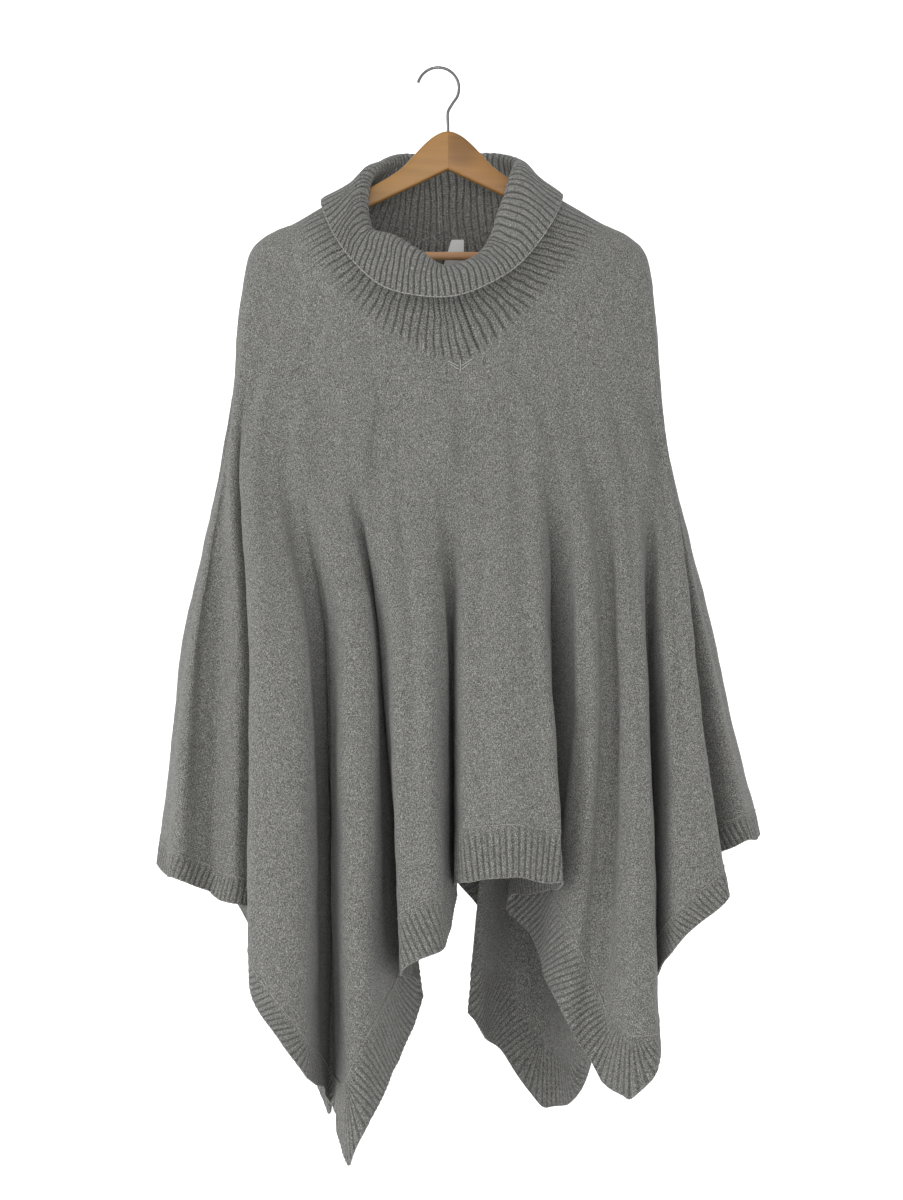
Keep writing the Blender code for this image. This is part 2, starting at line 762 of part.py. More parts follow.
def hanger_arm(name, mirror, material, cutter):
    """One wooden half of the hanger, glued to the other at the centre."""
    outline = list(ARM_TOP) + list(ARM_UNDER)
    half = WOOD_THICK * 0.5
    joint = SEAM * 0.5
    flat = []
    for x, z in outline:
        flat.append((max(x, joint) * mirror, z))
    if mirror < 0:
        flat.reverse()
    count = len(flat)
    points = [Vector((x, -half, z)) for x, z in flat] + [Vector((x, half, z)) for x, z in flat]
    faces = [tuple(reversed(range(count))), tuple(range(count, 2 * count))]
    for k in range(count):
        m = (k + 1) % count
        faces.append((k, m, m + count, k + count))
    obj = new_object(name, points, faces, material)
    bevel = obj.modifiers.new("round_edges", "BEVEL")
    bevel.width = WOOD_BEVEL * MM
    bevel.segments = 2
    bevel.limit_method = "ANGLE"
    bevel.angle_limit = math.radians(60.0)
    bore = obj.modifiers.new("hook_bore", "BOOLEAN")
    bore.operation = "DIFFERENCE"
    bore.object = cutter
    return obj


def hook_bore():
    """Guide that bores the hook's hole into the top of the hanger."""
    bpy.ops.mesh.primitive_cylinder_add(vertices=16, radius=BORE_RADIUS * MM, depth=(BORE_DEPTH + 10.0) * MM)
    cutter = bpy.context.object
    cutter.name = "bore_cutter"
    cutter.parent = root
    cutter.location = (0.0, 0.0, (ARM_TOP[0][1] - BORE_DEPTH * 0.5 + 5.0) * MM)
    cutter.hide_render = True
    cutter.display_type = "WIRE"
    return cutter


def wire_path():
    """Centre line of the hook, from its tip over the crown and down into the wood."""
    path = []
    steps = 16
    for k in range(steps + 1):
        angle = math.radians(HOOK_TIP_ANGLE + (HOOK_NECK_ANGLE - HOOK_TIP_ANGLE) * k / steps)
        x = HOOK_CENTRE[0] + HOOK_RADIUS * math.cos(angle)
        z = HOOK_CENTRE[1] + HOOK_RADIUS * math.sin(angle)
        path.append((x, z))
    path += list(HOOK_SWEEP)
    path.append((0.0, ARM_TOP[0][1] - BORE_DEPTH + 1.0))
    return path


def hanger_hook(material):
    """Bent wire, round in section, with closed ends."""
    curve = bpy.data.curves.new("hanger_hook", "CURVE")
    curve.dimensions = "3D"
    curve.bevel_depth = WIRE_RADIUS * MM
    curve.bevel_resolution = 2
    curve.use_fill_caps = True
    path = wire_path()
    spline = curve.splines.new("POLY")
    spline.points.add(len(path) - 1)
    for point, (x, z) in zip(spline.points, path):
        point.co = (x * MM, 0.0, z * MM, 1.0)
    obj = bpy.data.objects.new("hanger_hook", curve)
    bpy.context.scene.collection.objects.link(obj)
    obj.parent = root
    curve.materials.append(material)
    return obj


def hanger_bar(material):
    """Round trouser bar between the hanger's heels."""
    heel = min(x for x, z in ARM_UNDER if z < -210.0)
    length = 2.0 * (heel - SEAM)
    bpy.ops.mesh.primitive_cylinder_add(vertices=20, radius=BAR_RADIUS * MM, depth=length * MM)
    obj = bpy.context.object
    obj.name = "hanger_bar"
    obj.parent = root
    obj.rotation_euler = (0.0, math.radians(90.0), 0.0)
    obj.location = (0.0, 0.0, BAR_Z * MM)
    obj.data.materials.append(material)
    obj.data.shade_smooth()
    obj.data.set_sharp_from_angle(angle=math.radians(40.0))
    return obj


def surface(name, colour, roughness, metallic=0.0):
    """Plain Principled material."""
    material = bpy.data.materials.new(name)
    material.use_nodes = True
    shader = material.node_tree.nodes["Principled BSDF"]
    shader.inputs["Base Color"].default_value = (*colour, 1.0)
    shader.inputs["Roughness"].default_value = roughness
    shader.inputs["Metallic"].default_value = metallic
    return material


def clear_scene():
    """Remove what the file opened with."""
    for obj in list(bpy.data.objects):
        bpy.data.objects.remove(obj, do_unlink=True)


clear_scene()
root = bpy.data.objects.new("poncho_root", None)
bpy.context.scene.collection.objects.link(root)
root.location = (STEM_OFFSET * MM, 0.0, 0.0)

knit = surface("grey_marl_knit", (0.215, 0.21, 0.195), 0.95)
ribbing = surface("grey_marl_rib", (0.2, 0.195, 0.18), 0.95)
wood = surface("beech_wood", (0.55, 0.3, 0.13), 0.45)
chrome = surface("chrome_wire", (0.75, 0.75, 0.75), 0.15, 1.0)
label_cloth = surface("white_label", (0.85, 0.85, 0.84), 0.8)

rings = body_rings()
panel_last = UPPER_ROWS + LOWER_ROWS
hem_row = panel_last + 1
around = len(rings[0])
left_side = 0
right_side = ALL_NAMES.index("right_side") * COLUMNS_PER_FOLD
corner = {name: place * COLUMNS_PER_FOLD for name, place in CORNER_AT.items()}

body_normals = grid_normals(rings, True, above_yoke_edge())
walls = (moved(rings, body_normals, WALL * 0.5), moved(rings, body_normals, -WALL * 0.5))
cloth_panel("front_panel", walls, (0, panel_last), (left_side, right_side), (True, True), knit)
cloth_panel("back_panel", walls, (0, panel_last), (right_side, around), (True, True), knit)
BANDS = (
    ("front_hem_band", corner["left_corner"], corner["right_corner"]),
    ("right_side_band", corner["right_corner"], corner["back_right_corner"]),
    ("back_hem_band", corner["back_right_corner"], corner["back_left_corner"]),
    ("left_side_band", corner["back_left_corner"], around + corner["left_corner"]),
)
for band_name, band_start, band_end in BANDS:
    band_rows = (panel_last, hem_row)
    cloth_panel(band_name, walls, band_rows, (band_start, band_end), (True, False), ribbing)
neck_yoke(ribbing)
cowl_collar(ribbing)
neck_label(label_cloth)
bore_cutter = hook_bore()
hanger_arm("hanger_arm_right", 1, wood, bore_cutter)
hanger_arm("hanger_arm_left", -1, wood, bore_cutter)
hanger_bar(wood)
hanger_hook(chrome)
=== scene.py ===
import math
import bpy
import numpy as np
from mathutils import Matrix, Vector, noise


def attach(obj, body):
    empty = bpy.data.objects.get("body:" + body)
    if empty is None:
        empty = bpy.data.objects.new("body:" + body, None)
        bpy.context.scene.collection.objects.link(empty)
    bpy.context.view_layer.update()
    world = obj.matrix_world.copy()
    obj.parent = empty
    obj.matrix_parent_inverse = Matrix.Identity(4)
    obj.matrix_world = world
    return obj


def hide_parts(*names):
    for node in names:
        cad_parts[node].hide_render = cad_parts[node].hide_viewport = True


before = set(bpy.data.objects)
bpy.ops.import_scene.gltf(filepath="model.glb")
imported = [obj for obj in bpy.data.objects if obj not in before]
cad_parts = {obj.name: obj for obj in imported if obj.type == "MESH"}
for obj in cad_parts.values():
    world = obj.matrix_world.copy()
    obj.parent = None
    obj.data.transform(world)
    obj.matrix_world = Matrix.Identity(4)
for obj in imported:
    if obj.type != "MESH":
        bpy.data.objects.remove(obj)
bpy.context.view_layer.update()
print("frame loaded")

# lengths are millimetres from the hanger's centre plane and the hook's crown
mm = 0.001

garment = {
    "stemX": 11.0,   # hanger's centre plane, to the right of the hook's crown
    "chestZ": -365.0,   # level where the folds begin
    "waistZ": -650.0,   # level of the waist columns in the fold tables
    "yokeHalf": 176.0,
    "tipX": 223.0,   # shoulder tip
    "depthMiddle": 62.0,
    "depthTip": 28.0,
    "backShare": 0.9,   # the back lies a little closer than the front
    "slopeLength": 35.0,
    "slopePower": 0.65,
    "tipCrowd": 1.1,   # how far the upper rows crowd at the shoulder tips
    "deepBand": 55.0,
    "narrowBand": 27.0,
    "steepest": 1.8,   # most that a slanted hem lengthens its band
    "halfWall": 1.0,
    "seamGap": 0.02,
    "cutWidth": 1830.0,   # the knitted rectangle, arm to arm
    "cutLength": 1490.0,   # and front hem to back hem
    "perFold": 12,   # columns between two fold lines
    "upperRows": 36,
    "lowerRows": 92,
    "bandRows": 8,
    "softTurns": 2,   # times that the fold tips are rounded
}
perFold = garment["perFold"]
upperRows = garment["upperRows"]
lowerRows = garment["lowerRows"]
bandRows = garment["bandRows"]
groove = {"depth": 60, "share": 0.9, "ease": 32.0, "run": 480.0}   # grooves set in softly below the chest

ridge = (
    (0.0, -84.0), (116.0, -142.0), (176.0, -176.0), (200.0, -186.0), (216.0, -198.0),
    (223.0, -211.0), (228.0, -242.0), (236.0, -323.0), (240.0, -365.0),
)
yokeFront = (
    (-176.0, -176.0), (-162.0, -204.0), (-127.0, -250.0), (-88.0, -288.0), (-37.0, -322.0), (12.0, -335.0),
    (66.0, -300.0), (104.0, -262.0), (142.0, -225.0), (166.0, -196.0), (176.0, -176.0),
)
yokeBack = (
    (-176.0, -176.0), (-160.0, -206.0), (-110.0, -248.0), (-50.0, -272.0), (0.0, -279.0),
    (50.0, -272.0), (110.0, -248.0), (160.0, -206.0), (176.0, -176.0),
)

# fold lines: name, share of the chest, waist x and y, hem x, y and z
frontFolds = (
    ("leftSide", -1.0, -297, 0, -323, 0, -887),
    ("leftArmCrest", -0.995, -280, -58, -298, -78, -899),
    ("leftArmValley", -0.985, -252, -46, -259, -56, -916),
    ("leftArmTurn", -0.965, -226, -66, -229, -82, -924),
    ("leftDeepFold", -0.93, -180, -14, -176, -10, -966),
    ("leftFrontEdge", -0.895, -213, -114, -215, -134, -1003),
    ("leftFrontPanel", -0.75, -155, -121, -151, -144, -1100),
    ("leftGroove", -0.60, -133, -32, -130, -30, -1150),
    ("leftCorner", -0.515, -113, -115, -110, -127, -1208),
    ("leftCornerInner", -0.42, -82, -113, -82, -130, -1148),
    ("innerLeftGroove", -0.35, -71, -26, -28, -16, -1023),
    ("middleLeftEdge", -0.28, -60, -116, -52, -142, -990),
    ("middleLeftPanel", -0.09, -14, -120, -10, -143, -968),
    ("middleLeftGroove", 0.0, 4, -40, 9, -26, -918),
    ("centreLeft", 0.06, 15, -116, 14, -140, -891),
    ("centre", 0.19, 62, -126, 72, -150, -888),
    ("centreRightEdge", 0.31, 106, -122, 128, -144, -899),
    ("middleRightGroove", 0.345, 108, -22, 64, -12, -928),
    ("rightPanelStart", 0.40, 132, -87, 98, -42, -975),
    ("rightPanel", 0.49, 154, -118, 124, -100, -1041),
    ("rightPanelValley", 0.61, 182, -90, 166, -94, -1112),
    ("rightCorner", 0.70, 197, -114, 193, -132, -1131),
    ("rightCornerEdge", 0.785, 211, -109, 226, -121, -1092),
    ("rightGroove", 0.85, 218, -26, 220, -20, -1040),
    ("rightFrontPanel", 0.905, 236, -102, 246, -120, -965),
    ("rightFrontEdge", 0.965, 266, -96, 300, -110, -914),
    ("rightDeepFold", 0.985, 246, -16, 268, -12, -893),
    ("rightArmCrest", 0.995, 284, -50, 326, -64, -859),
)
backFolds = (
    ("rightSide", 1.0, 299, 0, 347, 0, -857),
    ("backRightArmCrest", 0.99, 278, 54, 328, 68, -866),
    ("backRightArmGroove", 0.95, 240, 22, 288, 20, -892),
    ("backRightOuterCrest", 0.88, 226, 108, 262, 128, -942),
    ("backRightOuterGroove", 0.78, 184, 40, 212, 28, -1006),
    ("backRightCrest", 0.69, 170, 118, 188, 138, -1072),
    ("backRightInnerEdge", 0.59, 140, 36, 150, 34, -1152),
    ("backRightCorner", 0.51, 120, 100, 108, 90, -1187),
    ("backRightStrip", 0.43, 90, 98, 62, 92, -1114),
    ("backRightStripEdge", 0.35, 58, 34, 26, 40, -1066),
    ("backRightTurn", 0.27, 54, 108, 66, 132, -1006),
    ("backInnerRightCrest", 0.19, 30, 120, 34, 142, -950),
    ("backMiddleRightPanel", 0.10, 12, 112, 4, 128, -914),
    ("backMiddleRightGroove", 0.0, -14, 32, -24, 22, -884),
    ("backMiddleCrest", -0.12, -42, 116, -52, 136, -874),
    ("backMiddleLeftGroove", -0.21, -64, 44, -70, 24, -878),
    ("backLeftCrest", -0.31, -92, 120, -98, 140, -898),
    ("backLeftGroove", -0.41, -112, 28, -104, 26, -945),
    ("backLeftPanel", -0.52, -138, 112, -146, 134, -1012),
    ("backLeftCornerInner", -0.60, -150, 76, -144, 84, -1110),
    ("backLeftCorner", -0.67, -158, 34, -134, 36, -1186),
    ("backLeftCornerOuter", -0.74, -176, 84, -164, 92, -1120),
    ("backLeftOuterCrest", -0.82, -200, 114, -194, 134, -1050),
    ("backLeftOuterGroove", -0.88, -212, 24, -216, 26, -984),
    ("backLeftArmCrest", -0.94, -242, 100, -254, 118, -932),
    ("backLeftArmGroove", -0.975, -252, 20, -274, 20, -901),
    ("backLeftArmEdge", -0.993, -282, 52, -308, 64, -888),
)
allFolds = [(fold, -1) for fold in frontFolds] + [(fold, 1) for fold in backFolds]
foldAt = {fold[0]: i for i, (fold, side) in enumerate(allFolds)}
corners = [foldAt[name] for name in ("leftCorner", "rightCorner", "backRightCorner", "backLeftCorner")]

# creases laid in one by one: fold line, offset and level at the top, the same at the bottom, width, depth
creases = (
    ("leftSide", 0.45, -420, 0.5, -850, 8, -4.5),
    ("leftArmCrest", 0.4, -330, 0.5, -860, 7, -5.0),
    ("leftFrontEdge", 0.45, -345, 0.35, -700, 9, 4.5),
    ("leftFrontPanel", 0.35, -400, 0.5, -1040, 10, -6.0),
    ("leftFrontPanel", 0.75, -470, 0.8, -1090, 7, 4.0),
    ("leftGroove", 0.5, -520, 0.45, -1000, 8, 4.0),
    ("leftCornerInner", 0.45, -480, 0.35, -930, 8, -4.0),
    ("innerLeftGroove", 0.55, -420, 0.6, -840, 7, 4.5),
    ("middleLeftEdge", 0.5, -430, 0.45, -930, 8, -5.0),
    ("middleLeftPanel", 0.4, -520, 0.35, -900, 7, 3.5),
    ("centreLeft", 0.45, -440, 0.5, -800, 12, -4.0),
    ("centreLeft", 0.85, -560, 0.75, -880, 9, 3.0),
    ("centre", 0.45, -420, 0.55, -860, 11, -5.0),
    ("centreRightEdge", 0.5, -470, 0.5, -820, 8, 3.5),
    ("rightPanelStart", 0.5, -430, 0.45, -960, 8, 4.0),
    ("rightPanel", 0.5, -450, 0.55, -1020, 9, -6.0),
    ("rightPanelValley", 0.45, -500, 0.5, -1080, 8, 4.5),
    ("rightCorner", 0.5, -420, 0.4, -960, 8, -4.5),
    ("rightFrontPanel", 0.45, -380, 0.5, -880, 10, -5.5),
    ("rightFrontPanel", 0.8, -360, 0.75, -760, 8, 4.0),
    ("rightArmCrest", 0.45, -340, 0.4, -800, 8, -4.5),
    ("backRightArmCrest", 0.5, -350, 0.45, -820, 8, 4.5),
    ("backRightOuterCrest", 0.5, -380, 0.45, -930, 9, -5.0),
    ("backRightCrest", 0.4, -420, 0.5, -1060, 9, 5.0),
    ("backRightCorner", 0.5, -460, 0.45, -1080, 8, -4.5),
    ("backInnerRightCrest", 0.45, -400, 0.5, -880, 9, -5.0),
    ("backMiddleRightPanel", 0.45, -430, 0.4, -840, 8, 4.5),
    ("backMiddleCrest", 0.5, -410, 0.45, -820, 8, -4.0),
    ("backLeftCrest", 0.45, -400, 0.5, -860, 9, 5.0),
    ("backLeftPanel", 0.4, -440, 0.5, -980, 10, -5.5),
    ("backLeftCornerOuter", 0.5, -480, 0.45, -1060, 8, 4.0),
    ("backLeftOuterCrest", 0.45, -390, 0.5, -980, 9, -5.0),
    ("backLeftArmCrest", 0.5, -360, 0.45, -880, 8, 4.5),
    ("backLeftArmEdge", 0.5, -390, 0.6, -840, 9, 5.0),
    ("rightSide", 0.5, -400, 0.4, -820, 9, -5.0),
)


def hermite(start, end, startSlope, endSlope, t):
    t2 = t * t
    t3 = t2 * t
    return (
        start * (2.0 * t3 - 3.0 * t2 + 1.0) + startSlope * (t3 - 2.0 * t2 + t)
        + end * (3.0 * t2 - 2.0 * t3) + endSlope * (t3 - t2)
    )


def tableCurve(table, key, value):
    # reads one column of a table smoothly from another, without overshoot
    rows = sorted(table, key=lambda row: row[key])
    xs = [row[key] for row in rows]
    ys = [row[value] for row in rows]
    steps = [(ys[i + 1] - ys[i]) / (xs[i + 1] - xs[i]) for i in range(len(xs) - 1)]
    ms = [steps[0]]
    for before, after in zip(steps, steps[1:]):
        ms.append(0.0 if before * after <= 0.0 else 2.0 * before * after / (before + after))
    ms.append(steps[-1])

    def read(x):
        near = min(max(x, xs[0]), xs[-1])
        i = max(k for k in range(len(xs) - 1) if xs[k] <= near)
        width = xs[i + 1] - xs[i]
        past = (ms[0] if x < near else ms[-1]) * (x - near)   # runs on straight beyond the table
        return hermite(ys[i], ys[i + 1], ms[i] * width, ms[i + 1] * width, (near - xs[i]) / width) + past

    return read


ridgeLevel = tableCurve(ridge, 0, 1)
ridgeHalf = tableCurve(ridge, 1, 0)
yokeFrontLevel = tableCurve(yokeFront, 0, 1)
yokeBackLevel = tableCurve(yokeBack, 0, 1)


def drape(x, z, side):
    # depth of the cloth where it lies over the hanger
    fall = max(ridgeLevel(abs(x)) - z, 0.0)
    reach = min((x / garment["tipX"]) ** 2, 1.0)
    depth = garment["depthMiddle"] + (garment["depthTip"] - garment["depthMiddle"]) * reach
    leave = (1.0 - math.exp(-fall / garment["slopeLength"])) ** garment["slopePower"]
    return side * (garment["backShare"] if side > 0 else 1.0) * depth * leave


def yokeEdge(share, side):
    x = share * garment["yokeHalf"]
    z = (yokeFrontLevel if side < 0 else yokeBackLevel)(x)
    return (x, drape(x, z, side), z)


def upperLine(share, side, part):
    # from the yoke's edge, part 0, to the chest, part 1
    start = yokeEdge(share, side)
    power = 1.0 + garment["tipCrowd"] * abs(share) ** 4
    z = start[2] + (garment["chestZ"] - start[2]) * part ** power
    startShare = start[0] / ridgeHalf(start[2])
    half = ridgeHalf(z)
    x = half * (startShare + (share - startShare) * part)
    if abs(share) == 1.0:
        return (share * half, 0.0, z)
    return (x, drape(x, z, side), z)


def lowerPoint(before, chest, waist, hem, z):
    spanA = waist[2] - chest[2]
    spanB = hem[2] - waist[2]
    slopeTop = (chest - before) / min(chest[2] - before[2], -1.0)
    slopeMid = ((waist - chest) / spanA + (hem - waist) / spanB) * 0.5
    slopeEnd = (hem - waist) / spanB
    if z >= waist[2]:
        point = hermite(chest, waist, slopeTop * spanA, slopeMid * spanA, (z - chest[2]) / spanA)
    else:
        point = hermite(waist, hem, slopeMid * spanB, slopeEnd * spanB, (z - waist[2]) / spanB)
    point[2] = z
    return point


def catmull(before, start, end, after, t):
    # arrays of points; kept calm where the spacing differs
    near = np.maximum(np.linalg.norm(end - start, axis=-1, keepdims=True), 1e-6)
    far1 = np.linalg.norm(start - before, axis=-1, keepdims=True)
    far2 = np.linalg.norm(after - end, axis=-1, keepdims=True)
    slope1 = (end - before) * (near / (near + far1 + 1e-6))
    slope2 = (after - start) * (near / (near + far2 + 1e-6))
    return hermite(start, end, slope1, slope2, t)


def ringThrough(knots, perStep):
    # knots: (..., count, 3), closed; gives perStep points for each knot
    before = np.roll(knots, 1, axis=-2)
    after = np.roll(knots, -1, axis=-2)
    afterThat = np.roll(knots, -2, axis=-2)
    parts = [catmull(before, knots, after, afterThat, step / perStep) for step in range(perStep)]
    stacked = np.stack(parts, axis=-2)
    return stacked.reshape(*knots.shape[:-2], knots.shape[-2] * perStep, 3)


def softened(points, turns):
    # rounds the fold tips a little, along each ring
    for _ in range(turns):
        points = 0.5 * points + 0.25 * (np.roll(points, 1, axis=1) + np.roll(points, -1, axis=1))
    return points


def unit(vectors):
    return vectors / np.maximum(np.linalg.norm(vectors, axis=-1, keepdims=True), 1e-9)


def lengthDown(points):
    # running length along the first axis of a path or a grid
    steps = np.linalg.norm(np.diff(points, axis=0), axis=-1)
    return np.concatenate([np.zeros((1, *steps.shape[1:])), np.cumsum(steps, axis=0)])


def drawThrough(knots, perStep):
    # a smooth line through all the knots but the first and the last
    spans = range(1, len(knots) - 2)
    line = [catmull(*knots[i - 1:i + 3], step / perStep) for i in spans for step in range(perStep)]
    return np.array(line + [knots[-2]])


def lump(*place):
    return noise.noise(Vector(place))


def panelEnd(fold):
    # a band is taller, straight up, where its hem is steep
    i = foldAt[fold[0]]
    deep = corners[0] <= i <= corners[1] or corners[2] <= i <= corners[3]
    rises = []
    for near in (allFolds[i - 1][0], allFolds[(i + 1) % len(allFolds)][0]):
        rises.append(abs(near[6] - fold[6]) / math.hypot(near[4] - fold[4], near[5] - fold[5]))
    steep = math.hypot(1.0, (rises[0] + rises[1]) / 2.0)
    return fold[6] + (garment["deepBand"] if deep else garment["narrowBand"]) * min(steep, garment["steepest"])


def bodyGrid():
    # rows: yoke's edge, chest, panel's end, hem
    upper = np.zeros((upperRows + 1, len(allFolds) * perFold, 3))
    lower = np.zeros((lowerRows + bandRows, len(allFolds), 3))
    top = garment["chestZ"]
    for i, (fold, side) in enumerate(allFolds):
        share = fold[1]
        nextShare = allFolds[(i + 1) % len(allFolds)][0][1]
        for step in range(perFold):
            between = share + (nextShare - share) * step / perFold
            for row in range(upperRows + 1):
                upper[row, i * perFold + step] = upperLine(between, side, row / upperRows)
        chest = np.array(upperLine(share, side, 1.0))
        before = np.array(upperLine(share, side, 0.8))
        waist = np.array((*fold[2:4], garment["waistZ"]), dtype=float)
        hem = np.array(fold[4:7], dtype=float)
        end = panelEnd(fold)
        levels = [top + (end - top) * row / lowerRows for row in range(1, lowerRows + 1)]
        levels += [end + (fold[6] - end) * row / bandRows for row in range(1, bandRows + 1)]
        isGroove = abs(fold[3]) < groove["depth"] and abs(share) < groove["share"]
        for row, z in enumerate(levels):
            lower[row, i] = lowerPoint(before, chest, waist, hem, z)
            if isGroove and row < lowerRows:
                lower[row, i, 1] += side * groove["ease"] * math.sin(math.pi * min((top - z) / groove["run"], 1.0))
    rings = ringThrough(lower, perFold)
    levels = lower[:, :, 2]
    following = np.roll(levels, -1, axis=1)
    for step in range(perFold):   # straight runs between the fold lines, so that the hem has true corners
        rings[:, step::perFold, 2] = levels + (following - levels) * step / perFold
    return np.concatenate([upper, rings], axis=0)


def alongRings(grid):
    # running length along each ring
    steps = np.linalg.norm(np.roll(grid, -1, axis=1) - grid, axis=2)
    return np.concatenate([np.zeros((len(grid), 1)), np.cumsum(steps, axis=1)[:, :-1]], axis=1)


def gridNormals(grid, closed=True):
    across = np.roll(grid, -1, axis=1) - np.roll(grid, 1, axis=1) if closed else np.gradient(grid, axis=1)
    return unit(np.cross(np.gradient(grid, axis=0), across))


creaseShape = {"past": 0.2, "fadePower": 0.8, "narrow": 0.8, "widen": 0.9}   # they fade a little past each end


def creaseLift(grid):
    # height of the listed creases over the surface
    lift = np.zeros(grid.shape[:2])
    along = alongRings(grid)
    z = grid[:, :, 2]
    past = creaseShape["past"]
    for fold, topOff, topZ, lowOff, lowZ, width, depth in creases:
        columnTop = (foldAt[fold] + topOff) * perFold
        columnLow = (foldAt[fold] + lowOff) * perFold
        for row in range(len(grid)):
            column = columnTop
            for _ in range(2):
                level = z[row, int(column) % grid.shape[1]]
                part = (topZ - level) / (topZ - lowZ)
                column = columnTop + (columnLow - columnTop) * min(max(part, 0.0), 1.0)
            if part <= -past or part >= 1.0 + past:
                continue
            fade = math.sin(math.pi * (part + past) / (1.0 + 2.0 * past)) ** creaseShape["fadePower"]
            centre = np.interp(column, np.arange(grid.shape[1]), along[row])
            spread = width * (creaseShape["narrow"] + creaseShape["widen"] * max(0.0, min(1.0, part)))
            lift[row] += depth * fade * np.exp(-((along[row] - centre) / spread) ** 2)
    return lift


# slow lumps, small lumps and ripples: height, closeness across and down, shift in x and y
unevenKnit = ((2.6, 0.016, 0.006, 0.0, 0.0), (1.3, 0.05, 0.02, 9.0, 0.0), (0.45, 0.11, 0.07, 0.0, 5.0))


def unevenness(grid):
    # the same for neighbouring pieces
    return np.array([[
        sum(high * lump(x * across + dx, y * across + dy, z * down) for high, across, down, dx, dy in unevenKnit)
        for x, y, z in ring
    ] for ring in grid])


def flatCut(grid, endRow):
    # where each point lay in the knitted rectangle before it was hung, in metres
    halfX = garment["cutWidth"] * 0.5
    halfY = garment["cutLength"] * 0.5
    along = alongRings(grid)[endRow]
    total = along[-1] + np.linalg.norm(grid[endRow, -1] - grid[endRow, 0])
    marks = [along[i * perFold] for i in corners]
    marks.append(marks[0] + total)
    spots = [(-halfX, -halfY), (halfX, -halfY), (halfX, halfY), (-halfX, halfY), (-halfX, -halfY)]
    run = np.where(along < marks[0], along + total, along)
    edge = np.stack([np.interp(run, marks, [spot[k] for spot in spots]) for k in (0, 1)], axis=1)
    top = grid[0]
    side = np.where(np.arange(grid.shape[1]) < len(frontFolds) * perFold, -1.0, 1.0)
    drop = np.array([ridgeLevel(min(abs(x), garment["yokeHalf"])) for x in top[:, 0]]) - top[:, 2]
    start = np.stack([top[:, 0], side * (drop + 0.4 * np.abs(top[:, 1]))], axis=1)
    down = lengthDown(grid[:endRow + 1])
    part = (down / down[-1])[:, :, None]
    return (start[None] + (edge[None] - start[None]) * part) * mm


def placed(name, data):
    made = bpy.data.objects.new(name, data)
    bpy.context.scene.collection.objects.link(made)
    return made


def quadPiece(name, points, faces, material):
    # points in metres, every face with four corners
    faces = np.array(faces, dtype=np.int32)
    mesh = bpy.data.meshes.new(name)
    mesh.vertices.add(len(points))
    mesh.vertices.foreach_set("co", np.array(points, dtype=float).ravel())
    mesh.loops.add(faces.size)
    mesh.loops.foreach_set("vertex_index", faces.ravel())
    mesh.polygons.add(len(faces))
    mesh.polygons.foreach_set("loop_start", np.arange(0, faces.size, 4, dtype=np.int32))
    mesh.update(calc_edges=True)
    mesh.validate()
    mesh.shade_smooth()
    mesh.materials.append(material)
    return placed(name, mesh)


def onStem(points):
    # metres, with the hanger's centre plane in its place
    points = points * mm
    points[:, 0] += garment["stemX"] * mm
    return points


def clothPiece(name, outer, inner, uv, closed, material, ribs=None):
    # one closed shell from an outer and an inner grid, with the same uv on both faces
    rows, columns = outer.shape[:2]
    count = rows * columns
    index = np.arange(count).reshape(rows, columns)
    following = np.roll(index, -1, axis=1) if closed else index[:, 1:]
    here = index if closed else index[:, :-1]
    quads = [np.stack([here[:-1], here[1:], following[1:], following[:-1]], axis=-1).reshape(-1, 4)]
    quads.append(quads[0][:, ::-1] + count)
    quads.append(np.stack([following[0], following[0] + count, here[0] + count, here[0]], axis=-1))
    quads.append(np.stack([here[-1], here[-1] + count, following[-1] + count, following[-1]], axis=-1))
    if not closed:
        for column, turned in ((index[:, 0], False), (index[:, -1], True)):
            quad = np.stack([column[:-1], column[:-1] + count, column[1:] + count, column[1:]], axis=-1)
            quads.append(quad[:, ::-1] if turned else quad)
    faces = np.concatenate(quads, axis=0)
    piece = quadPiece(name, onStem(np.concatenate([outer.reshape(-1, 3), inner.reshape(-1, 3)])), faces, material)
    both = np.concatenate([uv.reshape(-1, 2), uv.reshape(-1, 2)], axis=0)[faces.ravel()]
    if closed:   # the last column closes on the first, so its uv runs on instead of back
        width = (uv[:, -1, 0] - uv[:, -2, 0]).mean()
        corner = both.reshape(-1, 4, 2)
        spread = corner[:, :, 0].max(axis=1) - corner[:, :, 0].min(axis=1)
        wide = spread > abs(width) * 20.0
        low = corner[:, :, 0] < corner[:, :, 0].mean(axis=1, keepdims=True)
        span = (uv[:, -1, 0].mean() - uv[:, 0, 0].mean()) + width
        corner[:, :, 0] += np.where(wide[:, None] & low, span, 0.0)
    piece.data.uv_layers.new(name="cut").data.foreach_set("uv", both.ravel())
    piece.data.set_sharp_from_angle(angle=math.radians(62.0))
    if ribs is not None:   # how strong the painted valley shade is at each point
        valleyShade = piece.data.attributes.new("ribs", "FLOAT", "POINT")
        valleyShade.data.foreach_set("value", np.concatenate([ribs.ravel(), ribs.ravel()]))
    return piece


ribShape = {"power": 0.55, "middle": 0.6, "back": 0.6}


def ribRelief(phase, height):
    # broad rounded ribs with narrow valleys, measured from about the middle of their height
    return (np.abs(np.cos(np.pi * phase)) ** ribShape["power"] - ribShape["middle"]) * height


def ribbedPiece(name, mid, turn, lift, across, down, closed, material, valleyShade):
    # the back follows the ribs of the face a little less far
    across, down, valleyShade = (np.broadcast_to(values, lift.shape) for values in (across, down, valleyShade))
    lift = lift[:, :, None]
    outer = mid + turn * (garment["halfWall"] + lift)
    inner = mid - turn * (garment["halfWall"] - lift * ribShape["back"])
    return clothPiece(name, outer, inner, np.stack([across, down], axis=2), closed, material, valleyShade)


